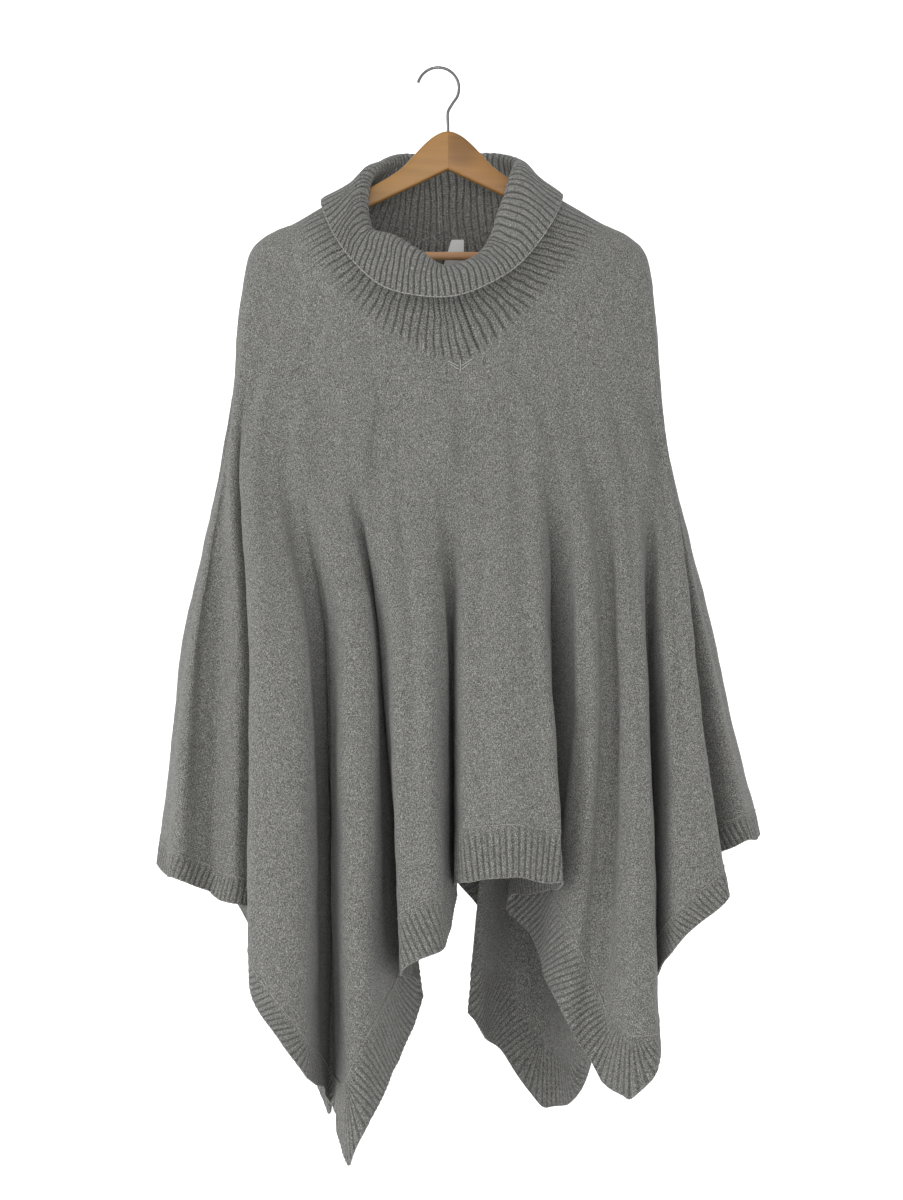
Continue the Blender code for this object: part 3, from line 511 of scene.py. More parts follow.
def takeColumns(grid, start, end):
    return np.take(grid, np.arange(start, end + 1), axis=1, mode="wrap")


def pulledIn(grid, top, bottom):
    # a hair off the joined edges
    grid = grid.copy()
    if top:
        grid[0] += unit(grid[1] - grid[0]) * garment["seamGap"]
    if bottom:
        grid[-1] += unit(grid[-2] - grid[-1]) * garment["seamGap"]
    return grid


def atColumns(grid, places):
    # grid read between its columns, each row at its own places
    base = np.floor(places).astype(int)
    share = (places - base)[:, :, None]
    count = grid.shape[1]
    row = np.arange(len(grid))[:, None]
    return grid[row, base % count] * (1.0 - share) + grid[row, (base + 1) % count] * share


def fill(tree, node, inputs):
    # sockets among the inputs are linked, other values are set
    for key, value in inputs.items():
        if isinstance(value, bpy.types.NodeSocket):
            tree.links.new(value, node.inputs[key])
        else:
            node.inputs[key].default_value = value
    return node.outputs


def addNode(tree, kind, inputs):
    return fill(tree, tree.nodes.new("ShaderNode" + kind), inputs)


def calc(tree, operation, *values):
    node = tree.nodes.new("ShaderNodeMath")
    node.operation = operation
    return fill(tree, node, dict(enumerate(values)))[0]


def mixed(tree, share, colour, other, blend="MIX"):
    node = tree.nodes.new("ShaderNodeMix")
    node.data_type = "RGBA"
    node.blend_type = blend
    return fill(tree, node, {0: share, 6: colour, 7: other})[2]


def ranged(tree, value, low, high, toLow=0.0, toHigh=1.0, smooth=False):
    node = tree.nodes.new("ShaderNodeMapRange")
    node.interpolation_type = "SMOOTHSTEP" if smooth else "LINEAR"
    inputs = {"Value": value, "From Min": low, "From Max": high, "To Min": toLow, "To Max": toHigh}
    return fill(tree, node, inputs)["Result"]


def useGroup(tree, group, inputs):
    node = tree.nodes.new("ShaderNodeGroup")
    node.node_tree = group
    return fill(tree, node, inputs)


def newGroup(name, inputs, outputs):
    # every group here takes a Vector first; gives back its tree, what it is given and what it puts out
    group = bpy.data.node_groups.new(name, "ShaderNodeTree")
    group.interface.new_socket(name="Vector", in_out="INPUT", socket_type="NodeSocketVector")
    for inOut, values in (("INPUT", inputs), ("OUTPUT", outputs)):
        for key, value in values.items():
            kind = "NodeSocketFloat" if isinstance(value, float) else "NodeSocketColor"
            group.interface.new_socket(name=key, in_out=inOut, socket_type=kind).default_value = value
    return group, group.nodes.new("NodeGroupInput").outputs, group.nodes.new("NodeGroupOutput").inputs


marl = {"Base": (0.146, 0.147, 0.137, 1.0), "Dark": (0.055, 0.054, 0.05, 1.0), "Light": (0.40, 0.40, 0.378, 1.0)}
marlFlecks = {   # closeness, stretch downwards, shift, and where they begin and are full
    "dark": (900.0, 0.6, 0.0, 0.475, 0.575),
    "light": (1150.0, 0.65, 3.1, 0.52, 0.63),
    "cloud": (140.0, 0.25, 7.7, 0.30, 0.70),
}
marlShares = {"cloud": 0.5, "dark": 0.82, "light": 0.62}
cloudTints = ((0.80, 0.82, 0.80, 1.0), (1.0, 0.98, 0.96, 1.0))
# colour of the painted shade in the rib valleys
paintedValleyShade = (0.014, 0.013, 0.012, 1.0)
woolFinish = {"Specular IOR Level": 0.15, "Sheen Weight": 0.12, "Sheen Roughness": 0.6}


def marlGroup():
    # light and dark flecks of a marl yarn, a little longer downwards
    group, given, made = newGroup("marlYarn", marl, {"Color": marl["Base"], "Fleck": 0.0})
    masks = []
    for closeness, stretch, shift, low, high in marlFlecks.values():
        spot = {"Vector": given["Vector"], "Scale": (1.0, 1.0, stretch), "Location": (shift, shift * 0.7, 0.0)}
        place = addNode(group, "Mapping", spot)["Vector"]
        cloudy = {"Vector": place, "Scale": closeness, "Detail": 1.0, "Roughness": 0.6}
        masks.append(ranged(group, addNode(group, "TexNoise", cloudy)["Fac"], low, high))
    dark, light, cloud = masks
    tone = mixed(group, marlShares["cloud"], given["Base"], mixed(group, cloud, *cloudTints), "MULTIPLY")
    tone = mixed(group, calc(group, "MULTIPLY", dark, marlShares["dark"]), tone, given["Dark"])
    tone = mixed(group, calc(group, "MULTIPLY", light, marlShares["light"]), tone, given["Light"])
    group.links.new(tone, made["Color"])
    group.links.new(calc(group, "SUBTRACT", light, dark), made["Fleck"])
    return group


def knitCounts(group, given, pitch):
    # place across a rib or wale, distance from its middle, and the count of courses
    apart = addNode(group, "SeparateXYZ", {0: given["Vector"]})
    across = calc(group, "FRACT", calc(group, "DIVIDE", apart[0], given[pitch]))
    fromMiddle = calc(group, "ABSOLUTE", calc(group, "SUBTRACT", across, 0.5))
    return across, fromMiddle, calc(group, "DIVIDE", apart[1], given["Course"])


def stitchGroup():
    # knit stitches from the cut's own coordinates: wales across u, slanting legs along v
    group, given, made = newGroup("knitStitches", {"Wale": 0.0024, "Course": 0.0020}, {"Height": 0.0})
    across, fromMiddle, courses = knitCounts(group, given, "Wale")
    slanted = calc(group, "ADD", courses, calc(group, "MULTIPLY", fromMiddle, 1.1))
    leg = calc(group, "SINE", calc(group, "MULTIPLY", slanted, math.tau))
    wale = calc(group, "POWER", calc(group, "SINE", calc(group, "MULTIPLY", across, math.pi)), 0.6)
    height = calc(group, "MULTIPLY", wale, calc(group, "MULTIPLY_ADD", leg, 0.25, 0.7))
    group.links.new(height, made["Height"])
    return group


def valleyShadeGroup():
    # painted shade in the valleys between the ribs, broken into dots once a course
    group, given, made = newGroup("ribValleyShade", {"Pitch": 0.007, "Course": 0.003}, {"Valley": 0.0})
    across, fromMiddle, courses = knitCounts(group, given, "Pitch")
    near = ranged(group, fromMiddle, 0.30, 0.0, smooth=True)
    turns = calc(group, "SINE", calc(group, "MULTIPLY", courses, math.tau))
    valley = calc(group, "MULTIPLY", near, calc(group, "MULTIPLY_ADD", turns, 0.25, 0.75))
    group.links.new(valley, made["Valley"])
    return group


marlYarn = marlGroup()
knitStitches = stitchGroup()
ribValleyShade = valleyShadeGroup()


def plainMaterial(name, colour, roughness, more=None):
    material = bpy.data.materials.new(name)
    material.use_nodes = True
    tree = material.node_tree
    fill(tree, tree.nodes["Principled BSDF"], {"Base Color": (*colour, 1.0), "Roughness": roughness, **(more or {})})
    return material


def objectPlace(tree):
    return tree.nodes.new("ShaderNodeTexCoord").outputs["Object"]


def surfaced(material, finish, height, strength, depth):
    # joins the finish and a bump to the material's shader
    tree = material.node_tree
    relief = addNode(tree, "Bump", {"Strength": strength, "Distance": depth, "Height": height})
    fill(tree, tree.nodes["Principled BSDF"], {**finish, "Normal": relief["Normal"]})
    return material


def clothMaterial(name, wale, course, bump, ribPitch=None, ribShade=0.0):
    material = plainMaterial(name, marl["Base"][:3], 0.95, woolFinish)
    tree = material.node_tree
    cut = tree.nodes.new("ShaderNodeUVMap")
    cut.uv_map = "cut"
    place = cut.outputs["UV"]
    yarn = useGroup(tree, marlYarn, {"Vector": objectPlace(tree)})
    stitches = useGroup(tree, knitStitches, {"Vector": place, "Wale": wale, "Course": course})["Height"]
    stitchShade = ranged(tree, stitches, 0.0, 0.8, 0.5, 1.0)   # painted shade down between the stitches
    colour = mixed(tree, 0.55, yarn["Color"], stitchShade, "MULTIPLY")
    # painted shade in the rib valleys, as strong as ribShade and the piece's ribs attribute say
    if ribPitch:
        valley = useGroup(tree, ribValleyShade, {"Vector": place, "Pitch": ribPitch})["Valley"]
        valleyShade = tree.nodes.new("ShaderNodeAttribute")
        valleyShade.attribute_name = "ribs"
        depth = calc(tree, "MULTIPLY", valleyShade.outputs["Fac"], ribShade)
        colour = mixed(tree, calc(tree, "MULTIPLY", valley, depth), colour, paintedValleyShade)
    height = calc(tree, "MULTIPLY_ADD", yarn["Fleck"], 0.25, stitches)
    return surfaced(material, {"Base Color": colour}, height, bump, 0.0006)


knitMaterial = clothMaterial("marlJersey", 0.0024, 0.0020, 0.55)
print("materials ready")

endRow = upperRows + lowerRows
waveRows = 34   # rows above the hem that its waves reach
body = softened(bodyGrid(), garment["softTurns"])
bodyLift = creaseLift(body) + unevenness(body)
fadeIn = np.clip(np.arange(len(body)) / 6.0, 0.0, 1.0)[:, None]
body = body + gridNormals(body) * (bodyLift * fadeIn)[:, :, None]


def hemWave(high, closeness, shift):
    return np.array([high * lump(x * closeness, y * closeness, shift) for x, y, z in body[-1]])[None, :]


waveUp = hemWave(7.0, 0.027, 3.3)
waveOut = hemWave(9.0, 0.021, 8.1)
lowShare = np.clip((np.arange(len(body)) - len(body) + waveRows) / (waveRows - 1.0), 0.0, 1.0)[:, None] ** 2
body[:, :, 2] += waveUp * lowShare
body = body + gridNormals(body) * (waveOut * lowShare)[:, :, None]
bodyNormals = gridNormals(body)
bodyCut = flatCut(body, endRow)
rightSide = foldAt["rightSide"] * perFold
panels = {
    "frontJersey": {"node": "front_panel", "columns": (0, rightSide), "bands": ["frontHemRib", "leftSideRib"]},
    "backJersey": {
        "node": "back_panel", "columns": (rightSide, body.shape[1]), "bands": ["backHemRib", "rightSideRib"],
    },
}
for name, panel in panels.items():
    part = pulledIn(takeColumns(body, *panel["columns"])[:endRow + 1], True, True)
    turn = takeColumns(bodyNormals, *panel["columns"])[:endRow + 1] * garment["halfWall"]
    piece = clothPiece(name, part + turn, part - turn, takeColumns(bodyCut, *panel["columns"]), False, knitMaterial)
    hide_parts(panel["node"])
    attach(piece, "root")
    panel["piece"] = piece
print("front and back hung")

hemRib = {"pitch": 6.6, "steps": 5, "height": 1.44, "swell": 0.7, "mostSlope": 0.87, "mostCrowd": 1.8, "square": 35.0}
bands = {   # in turn from corner to corner
    "frontHemRib": {"node": "front_hem_band", "height": garment["deepBand"]},
    "rightSideRib": {"node": "right_side_band", "height": garment["narrowBand"]},
    "backHemRib": {"node": "back_hem_band", "height": garment["deepBand"]},
    "leftSideRib": {"node": "left_side_band", "height": garment["narrowBand"]},
}


def ribLean(run, z, height):
    # how far a band's top sits along from its hem, so that ribs stand square to a slanted hem
    slope = np.clip(np.gradient(z, run), -hemRib["mostSlope"], hemRib["mostSlope"])
    lean = -slope * height / np.sqrt(1.0 - slope ** 2)
    fine = np.arange(0.0, run[-1], 2.0)
    lean = np.interp(fine, run, lean)
    kernel = np.hanning(15) / np.hanning(15).sum()
    while np.abs(np.diff(lean)).max() > hemRib["mostCrowd"]:   # ribs crowd to half their pitch at most
        lean = np.convolve(np.pad(lean, 7, mode="edge"), kernel, mode="valid")
    return np.interp(run, fine, lean * np.clip(np.minimum(fine, run[-1] - fine) / hemRib["square"], 0.0, 1.0))


hemMaterial = clothMaterial("marlHemRib", 0.0022, 0.0020, 0.5, hemRib["pitch"] * mm, 0.6)
bandGrid = body[endRow:]
bandNormals = bodyNormals[endRow:]
turns = [i * perFold for i in (*corners, corners[0] + len(allFolds))]
for (name, band), start, end in zip(bands.items(), turns, turns[1:]):
    own = takeColumns(bandGrid, start, end)
    run = lengthDown(own[bandRows // 2])
    ribs = round(run[-1] / hemRib["pitch"])
    lean = ribLean(run, own[-1, :, 2], band["height"])
    even = np.linspace(0.0, run[-1], ribs * hemRib["steps"] + 1)
    rows = np.linspace(0.0, 1.0, bandRows + 1)
    shift = np.interp(even, run, lean)[None, :] * (0.5 - rows)[:, None]
    places = np.interp(np.clip(even[None, :] + shift, 0.0, run[-1]), run, np.arange(start, end + 1))
    mid = pulledIn(atColumns(bandGrid, places), True, False)
    phase = np.arange(places.shape[1]) / hemRib["steps"] + 0.5
    relief = ribRelief(phase, hemRib["height"])
    mid[-1] += unit(mid[-1] - mid[-2]) * (relief[:, None] * hemRib["swell"])   # each rib's end swells past the hem
    ease = np.clip(rows * 5.0, 0.15, 1.0)[:, None]
    piece = ribbedPiece(
        name, mid, atColumns(bandNormals, places), relief[None, :] * ease,
        (phase * hemRib["pitch"] * mm)[None, :], (rows * band["height"] * mm)[:, None], False, hemMaterial, ease,
    )
    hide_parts(band["node"])
    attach(piece, "root")
    band["piece"] = piece
    print(name, ribs, "ribs")
print("hems knitted on")

# from the middle of the back round by the left: side, seam x and z, roll x, y and z, edge x, y and z, bulge
collarTable = (
    (1, 0, -183, -6, 68, -88, -6, 98, -160, 5),
    (1, -50, -178, -46, 58, -86, -72, 88, -150, 3),
    (1, -94, -157, -68, 32, -97, -122, 56, -144, -4),
    (0, -108, -138, -85, 2, -114, -141, -12, -149, -9),
    (-1, -102, -170, -91, -27, -150, -127, -60, -190, 2),
    (-1, -83, -202, -84, -46, -186, -106, -74, -222, 5),
    (-1, -56, -228, -56, -62, -198, -72, -94, -254, 5),
    (-1, -25, -244, -28, -70, -217, -34, -104, -266, 5),
    (-1, 6, -252, -2, -76, -233, 8, -108, -267, 5),
    (-1, 40, -240, 28, -70, -221, 50, -100, -250, 5),
    (-1, 70, -216, 46, -57, -198, 83, -80, -224, 5),
    (-1, 99, -178, 62, -33, -150, 112, -62, -184, 4),
    (0, 112, -140, 74, -4, -111, 128, -6, -143, -4),
    (1, 96, -157, 76, 26, -98, 116, 50, -140, -2),
    (1, 50, -177, 48, 58, -84, 66, 88, -148, 5),
)
collar = {"ribs": 92, "steps": 7, "rows": 60, "height": 2.125, "pitch": 0.0076, "waver": 6.0}
collarShape = {   # how far along stand and fold-over their knots lie, and how far off the straight way
    "stand": 0.62, "standIn": 4.0, "standDown": 3.0, "innerIn": 3.0, "innerDown": 4.0,
    "outerOut": 10.0, "outerDown": 0.5, "fold": 0.6, "foldUp": 4.0,
}


def collarKnots():
    # seam, stand, three round the crown, the fold-over's middle and its edge
    rows = []
    shape = collarShape
    up = np.array((0.0, 0.0, 1.0))
    for side, seamX, seamZ, rx, ry, rz, ex, ey, ez, bulge in collarTable:
        seam = np.array((seamX, drape(seamX, seamZ, side), seamZ), dtype=float)
        roll = np.array((rx, ry, rz), dtype=float)
        edge = np.array((ex, ey, ez), dtype=float)
        outward = unit(np.array((ex - rx, ey - ry, 0.0), dtype=float))
        stand = seam + (roll - seam) * shape["stand"] - outward * shape["standIn"] - up * shape["standDown"]
        inner = roll - outward * shape["innerIn"] - up * shape["innerDown"]
        outer = roll + outward * shape["outerOut"] - up * shape["outerDown"]
        fold = roll + (edge - roll) * shape["fold"] + outward * bulge + up * shape["foldUp"]
        rows.append((seam, stand, inner, roll, outer, fold, edge))
    return np.array(rows)


def ringOf(knots, columns):
    count = len(knots)
    place = np.arange(columns) * count / columns
    i = place.astype(int)
    t = (place - i)[:, None]
    return catmull(knots[(i - 1) % count], knots[i], knots[(i + 1) % count], knots[(i + 2) % count], t)


def readAlong(line, run, places):
    return np.stack([np.interp(places, run, line[:, k]) for k in range(3)], axis=1)


def alongProfile(profile, parts):
    # the profile read at even parts of its length, and that length
    ends = (profile[:1] * 2 - profile[1:2], profile[-1:] * 2 - profile[-2:-1])
    fine = drawThrough(np.concatenate([ends[0], profile, ends[1]]), 10)
    run = lengthDown(fine)
    return readAlong(fine, run, parts * run[-1]), run[-1]


def wanderingRibs(grid, amount):
    # slides the columns along each row, so that ribs waver as knitted ones do
    rows, count = grid.shape[:2]
    angles = np.arange(count) * math.tau / count
    places = np.zeros((rows, count))
    for r in range(rows):
        down = r / (rows - 1.0)
        slide = np.array([
            lump(3.0 * math.cos(a), 3.0 * math.sin(a), 2.2 * down)
            + 0.5 * lump(9.0 * math.cos(a), 9.0 * math.sin(a), 5.0 * down)
            for a in angles
        ])
        places[r] = np.arange(count) + slide * amount * math.sin(math.pi * min(down * 1.1, 1.0))
    return atColumns(grid, places)


columns = collar["ribs"] * collar["steps"]
knots = collarKnots()
knotRings = [ringOf(knots[:, k], columns) for k in range(knots.shape[1])]
parts = np.linspace(0.0, 1.0, collar["rows"] + 1)
collarMid = np.zeros((collar["rows"] + 1, columns, 3))
collarRun = np.zeros(columns)
for c in range(columns):
    collarMid[:, c], collarRun[c] = alongProfile(np.array([ring[c] for ring in knotRings]), parts)
for _ in range(3):   # eases the turn at the crown
    collarMid[1:-1] = 0.5 * collarMid[1:-1] + 0.25 * (collarMid[:-2] + collarMid[2:])
collarMid = wanderingRibs(collarMid, collar["waver"])
collarTurn = gridNormals(collarMid)
wander = np.array([[1.5 * lump(*(point * 0.03)) for point in ring] for ring in collarMid])
collarBody = collarMid + collarTurn * (wander * (np.sin(np.pi * parts) ** 0.5)[:, None])[:, :, None]
ease = np.clip(np.minimum(parts * 14.0, (1.0 - parts) * 30.0), 0.25, 1.0)[:, None]
phase = np.arange(columns) / collar["steps"]
ribUnit = collar["pitch"]
acrossRibs = (phase * ribUnit)[None, :]
collarMaterial = clothMaterial("marlCollarRib", ribUnit / 2.0, 0.0024, 0.8, ribUnit, 0.95)
cowl = ribbedPiece(
    "cowlRib", collarBody, collarTurn, ribRelief(phase, collar["height"])[None, :] * ease,
    acrossRibs, parts[:, None] * collarRun[None, :] * mm, True, collarMaterial,
    np.clip(0.45 + parts * 1.4, 0.0, 1.0)[:, None],   # less painted valley shade down in the stand
)
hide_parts("cowl_collar")
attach(cowl, "root")
print("collar knitted")

yoke = {"rows": 28, "height": 1.53, "waver": 3.0, "pointX": 6.0, "pointWidth": 45.0, "dip": 1.2, "dipWidth": 0.22}


def yokeShare(c, left, right):
    if left <= c <= right:
        return -math.cos(math.pi * (c - left) / (right - left))
    return math.cos(math.pi * ((c - right) % columns) / (columns - (right - left)))


left = columns * 3 // len(collarTable)   # the collar's two sides
right = columns * 12 // len(collarTable)
seamRing = knotRings[0]
yokeMid = np.zeros((yoke["rows"] + 1, columns, 3))
for c in range(columns):
    side = -1 if left < c < right else 1
    bottom = yokeEdge(yokeShare(c, left, right), side)
    for row in range(yoke["rows"] + 1):
        part = row / yoke["rows"]
        x = seamRing[c, 0] + (bottom[0] - seamRing[c, 0]) * part
        z = seamRing[c, 2] + (bottom[2] - seamRing[c, 2]) * part
        yokeMid[row, c] = (x, drape(x, z, side), z)
yokeMid[0] = seamRing
yokeTurn = gridNormals(yokeMid)
parts = np.linspace(0.0, 1.0, yoke["rows"] + 1)[:, None]
aside = seamRing[:, 0] - yoke["pointX"]
atPoint = np.exp(-(aside / yoke["pointWidth"]) ** 2) * (seamRing[:, 1] < 0.0)   # ribs stay raised longer there
atTop = np.clip(parts * 8.0, 0.3, 1.0)
fadeOut = np.clip((1.0 - parts) * (2.8 + 4.0 * atPoint)[None, :], 0.0, 1.0)
ease = atTop * fadeOut * (0.75 + 0.25 * atPoint)[None, :]
# how strong the painted valley shade is on the yoke, fading towards its edge
yokeValleyShade = atTop * np.clip((1.0 - parts) * (3.6 + 7.0 * atPoint)[None, :], 0.0, 1.0)
centreRib = np.floor(phase[np.argmin(np.abs(aside) + (seamRing[:, 1] > 0.0) * 999.0)]) + 0.5
centreDip = np.exp(-((phase - centreRib) / yoke["dipWidth"]) ** 2)   # a deeper valley down the middle
yokeMid = wanderingRibs(yokeMid, yoke["waver"])
yokeRun = lengthDown(yokeMid) * mm
yokeMid = pulledIn(yokeMid, True, True)
yokeMaterial = clothMaterial("marlYokeRib", ribUnit / 2.0, 0.0024, 0.7, ribUnit, 0.8)
yokePiece = ribbedPiece(
    "yokeRib", yokeMid, yokeTurn, (ribRelief(phase, yoke["height"]) - yoke["dip"] * centreDip)[None, :] * ease,
    # painted valley shade, a quarter stronger down the middle valley
    acrossRibs, yokeRun, True, yokeMaterial, yokeValleyShade * (1.0 + 0.25 * centreDip)[None, :],
)
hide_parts("neck_yoke")
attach(yokePiece, "root")
print("yoke knitted")

yarnMaterial = plainMaterial("marlYarnEnd", marl["Base"][:3], 0.95, {"Specular IOR Level": 0.15})
tree = yarnMaterial.node_tree
endYarn = useGroup(tree, marlYarn, {"Vector": objectPlace(tree), "Base": (0.26, 0.256, 0.24, 1.0)})
tree.links.new(endYarn["Color"], tree.nodes["Principled BSDF"].inputs["Base Color"])
lightYarn = plainMaterial("lightYarn", (0.30, 0.30, 0.28), 0.95)


def stitchLine(name, path, radius, pitch, closed=True, up=(0.0, 0.0, 1.0), material=yarnMaterial):
    # a thin yarn that swells once a stitch
    path = np.array(path, dtype=float)
    if closed:
        path = np.concatenate([path, path[:1]])
    run = lengthDown(path)
    middle = readAlong(path, run, np.linspace(0.0, run[-1], max(round(run[-1] / pitch), 2) * 3 + 1))
    if closed:
        middle = middle[:-1]
        along = unit(np.roll(middle, -1, axis=0) - np.roll(middle, 1, axis=0))
    else:
        along = unit(np.gradient(middle, axis=0))
    side = unit(np.cross(along, np.array(up)))
    rise = np.cross(side, along)
    count = len(middle)
    swell = radius * np.where(np.arange(count) % 3 == 0, 0.6, 1.0)[:, None]
    quarters = [math.radians(45.0 + 90.0 * k) for k in range(4)]
    points = np.stack([middle + (side * math.cos(a) + rise * math.sin(a)) * swell for a in quarters], axis=1)
    faces = []
    for i in range(count if closed else count - 1):
        j = (i + 1) % count
        faces += [(i * 4 + k, i * 4 + (k + 1) % 4, j * 4 + (k + 1) % 4, j * 4 + k) for k in range(4)]
    if not closed:
        faces += [(3, 2, 1, 0), tuple(count * 4 - 4 + k for k in range(4))]
    line = quadPiece(name, onStem(points.reshape(-1, 3)), faces, material)
    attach(line, "root")


linkYarn = {"radius": 0.75, "pitch": 3.3}
stitchLine("hemSeam", bandGrid[0] + bandNormals[0] * 1.3, linkYarn["radius"], linkYarn["pitch"])
stitchLine("hemCastOff", bandGrid[-1] + bandNormals[-1] * 0.5, linkYarn["radius"], linkYarn["pitch"])
stitchLine("cowlCastOff", collarBody[-1] + collarTurn[-1] * 0.6, 0.9, 3.8)
backColumn = int(np.argmin(np.abs(collarMid[14, :, 0] + garment["stemX"]) + (collarMid[14, :, 1] < 0.0) * 999.0))
backSeam = collarBody[2:24, backColumn] + collarTurn[2:24, backColumn] * 1.5
stitchLine("backSeam", backSeam, 0.8, 3.4, False, (1.0, 0.0, 0.0))
face = np.concatenate([body[:14].reshape(-1, 3), yokeMid[-8:].reshape(-1, 3)])
face = face[face[:, 1] < 0.0]
point = {"x": 13.0, "z": -337.0, "off": 1.6}
pointStitches = (   # short stitches that close the yoke's point: start and end of each, from the point
    (-13.0, 4.0, -1.5, -1.5), (-10.5, 0.5, -1.0, -5.0), (14.0, 6.5, 2.0, -1.0), (11.0, 2.0, 2.0, -5.0),
    (0.6, 6.0, 0.8, -8.0),
)
for k, (x1, z1, x2, z2) in enumerate(pointStitches):
    stitch = []
    for part in np.linspace(0.0, 1.0, 4):
        x = point["x"] + x1 + (x2 - x1) * part
        z = point["z"] + z1 + (z2 - z1) * part
        near = np.argmin(np.hypot(face[:, 0] - x, face[:, 2] - z))
        stitch.append((x, face[near, 1] - point["off"], z))
    up = (1.0, 0.0, 0.0) if abs(x1 - x2) < 1.0 else (0.0, 0.0, 1.0)
    stitchLine("pointStitch" + str(k + 1), stitch, 0.8, 3.2, False, up, lightYarn)
print("sewn")

label = {
    "topWidth": 14.0, "lowWidth": 26.0, "drop": 38.0, "x": 11.0, "shift": -6.0, "top": -184.0,
    "inside": 2.6, "bow": 2.5, "curl": 1.2, "halfWall": 0.3, "rows": 24, "columns": 12,
}
# a pale tape whose colour is partly lowered to paint the shade it hangs in
labelMaterial = plainMaterial("shadedSatinTape", (0.55, 0.55, 0.535), 0.6)
tree = labelMaterial.node_tree
weave = tree.nodes.new("ShaderNodeTexWave")
weave.bands_direction = "Z"
threads = fill(tree, weave, {"Scale": 900.0, "Distortion": 0.4, "Vector": objectPlace(tree)})["Fac"]
surfaced(labelMaterial, {}, threads, 0.3, 0.0002)
labelMid = np.zeros((label["rows"] + 1, label["columns"] + 1, 3))
for r in range(label["rows"] + 1):
    for c in range(label["columns"] + 1):
        part = c / label["columns"] - 0.5
        down = r / label["rows"]
        width = label["topWidth"] + (label["lowWidth"] - label["topWidth"]) * down
        x = label["x"] + label["shift"] * down + width * part
        z = label["top"] - label["drop"] * down
        lean = label["bow"] * math.sin(math.pi * down) + label["curl"] * math.cos(math.tau * part) * down
        labelMid[r, c] = (x, drape(x, z, 1) - label["inside"] - lean, z)
turn = gridNormals(labelMid, False) * label["halfWall"]
across = np.linspace(0, 0.02, label["columns"] + 1)
cut = np.stack(np.meshgrid(across, np.linspace(0, 0.04, label["rows"] + 1)), axis=2)
tape = clothPiece("neckTape", labelMid + turn, labelMid - turn, cut, False, labelMaterial)
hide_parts("neck_label")
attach(tape, "root")

armTop = (
    (0.0, -70.0), (11.0, -73.0), (22.0, -80.5), (37.5, -96.0), (52.0, -111.5), (77.0, -127.5), (116.0, -147.0),
    (176.0, -179.7), (197.0, -190.5), (211.0, -202.5), (216.0, -212.0),
)
armUnder = (
    (211.0, -219.5), (200.0, -222.0), (189.0, -218.0), (189.0, -201.0), (176.0, -197.5), (116.0, -168.0),
    (45.0, -134.6), (0.0, -113.0),
)
hanger = {"thick": 11.0, "edge": 3.2, "edgeSteps": 5}
heartwood = {"centre": (0.026, 0.0, -0.089), "inner": 0.008, "outer": 0.030}   # a darker patch beside the joint


def woodMaterial(name, colour, dark, lean, size, heart=1.0):
    finish = {"Coat Weight": 0.05, "Specular IOR Level": 0.28, "Coat Roughness": 0.35}
    material = plainMaterial(name, colour, 0.42, finish)
    tree = material.node_tree
    place = objectPlace(tree)
    turned = {"Vector": place, "Rotation": (0.0, math.radians(28.0 * lean), 0.0), "Scale": (4.0, 30.0, 60.0)}
    streaks = {"Vector": addNode(tree, "Mapping", turned)["Vector"], "Scale": size, "Detail": 6.0, "Distortion": 0.6}
    grain = addNode(tree, "TexNoise", streaks)["Fac"]
    ramp = tree.nodes.new("ShaderNodeValToRGB")
    for stop, position, shade in zip(ramp.color_ramp.elements, (0.35, 0.62), (dark, colour)):
        stop.position = position
        stop.color = (*shade, 1.0)
    away = tree.nodes.new("ShaderNodeVectorMath")
    away.operation = "DISTANCE"
    distance = fill(tree, away, {0: place, 1: heartwood["centre"]})["Value"]
    patch = ranged(tree, distance, heartwood["inner"], heartwood["outer"], heart, 1.0, smooth=True)
    wood = mixed(tree, 1.0, fill(tree, ramp, {"Fac": grain})["Color"], patch, "MULTIPLY")
    return surfaced(material, {"Base Color": wood}, grain, 0.12, 0.0003)


def smoothOutline(mirror):
    # upper edge drawn through its knots, heel and notch kept crisp
    top = np.array([(x, 0.0, z) for x, z in armTop])
    line = drawThrough(np.concatenate([[(-11.0, 0.0, -73.0)], top, top[-1:] * 2 - top[-2:-1]]), 6)
    outline = [(x, z) for x, _, z in line] + list(armUnder)
    return [((max(x, 0.0) * mirror + garment["stemX"]) * mm, z * mm) for x, z in outline]


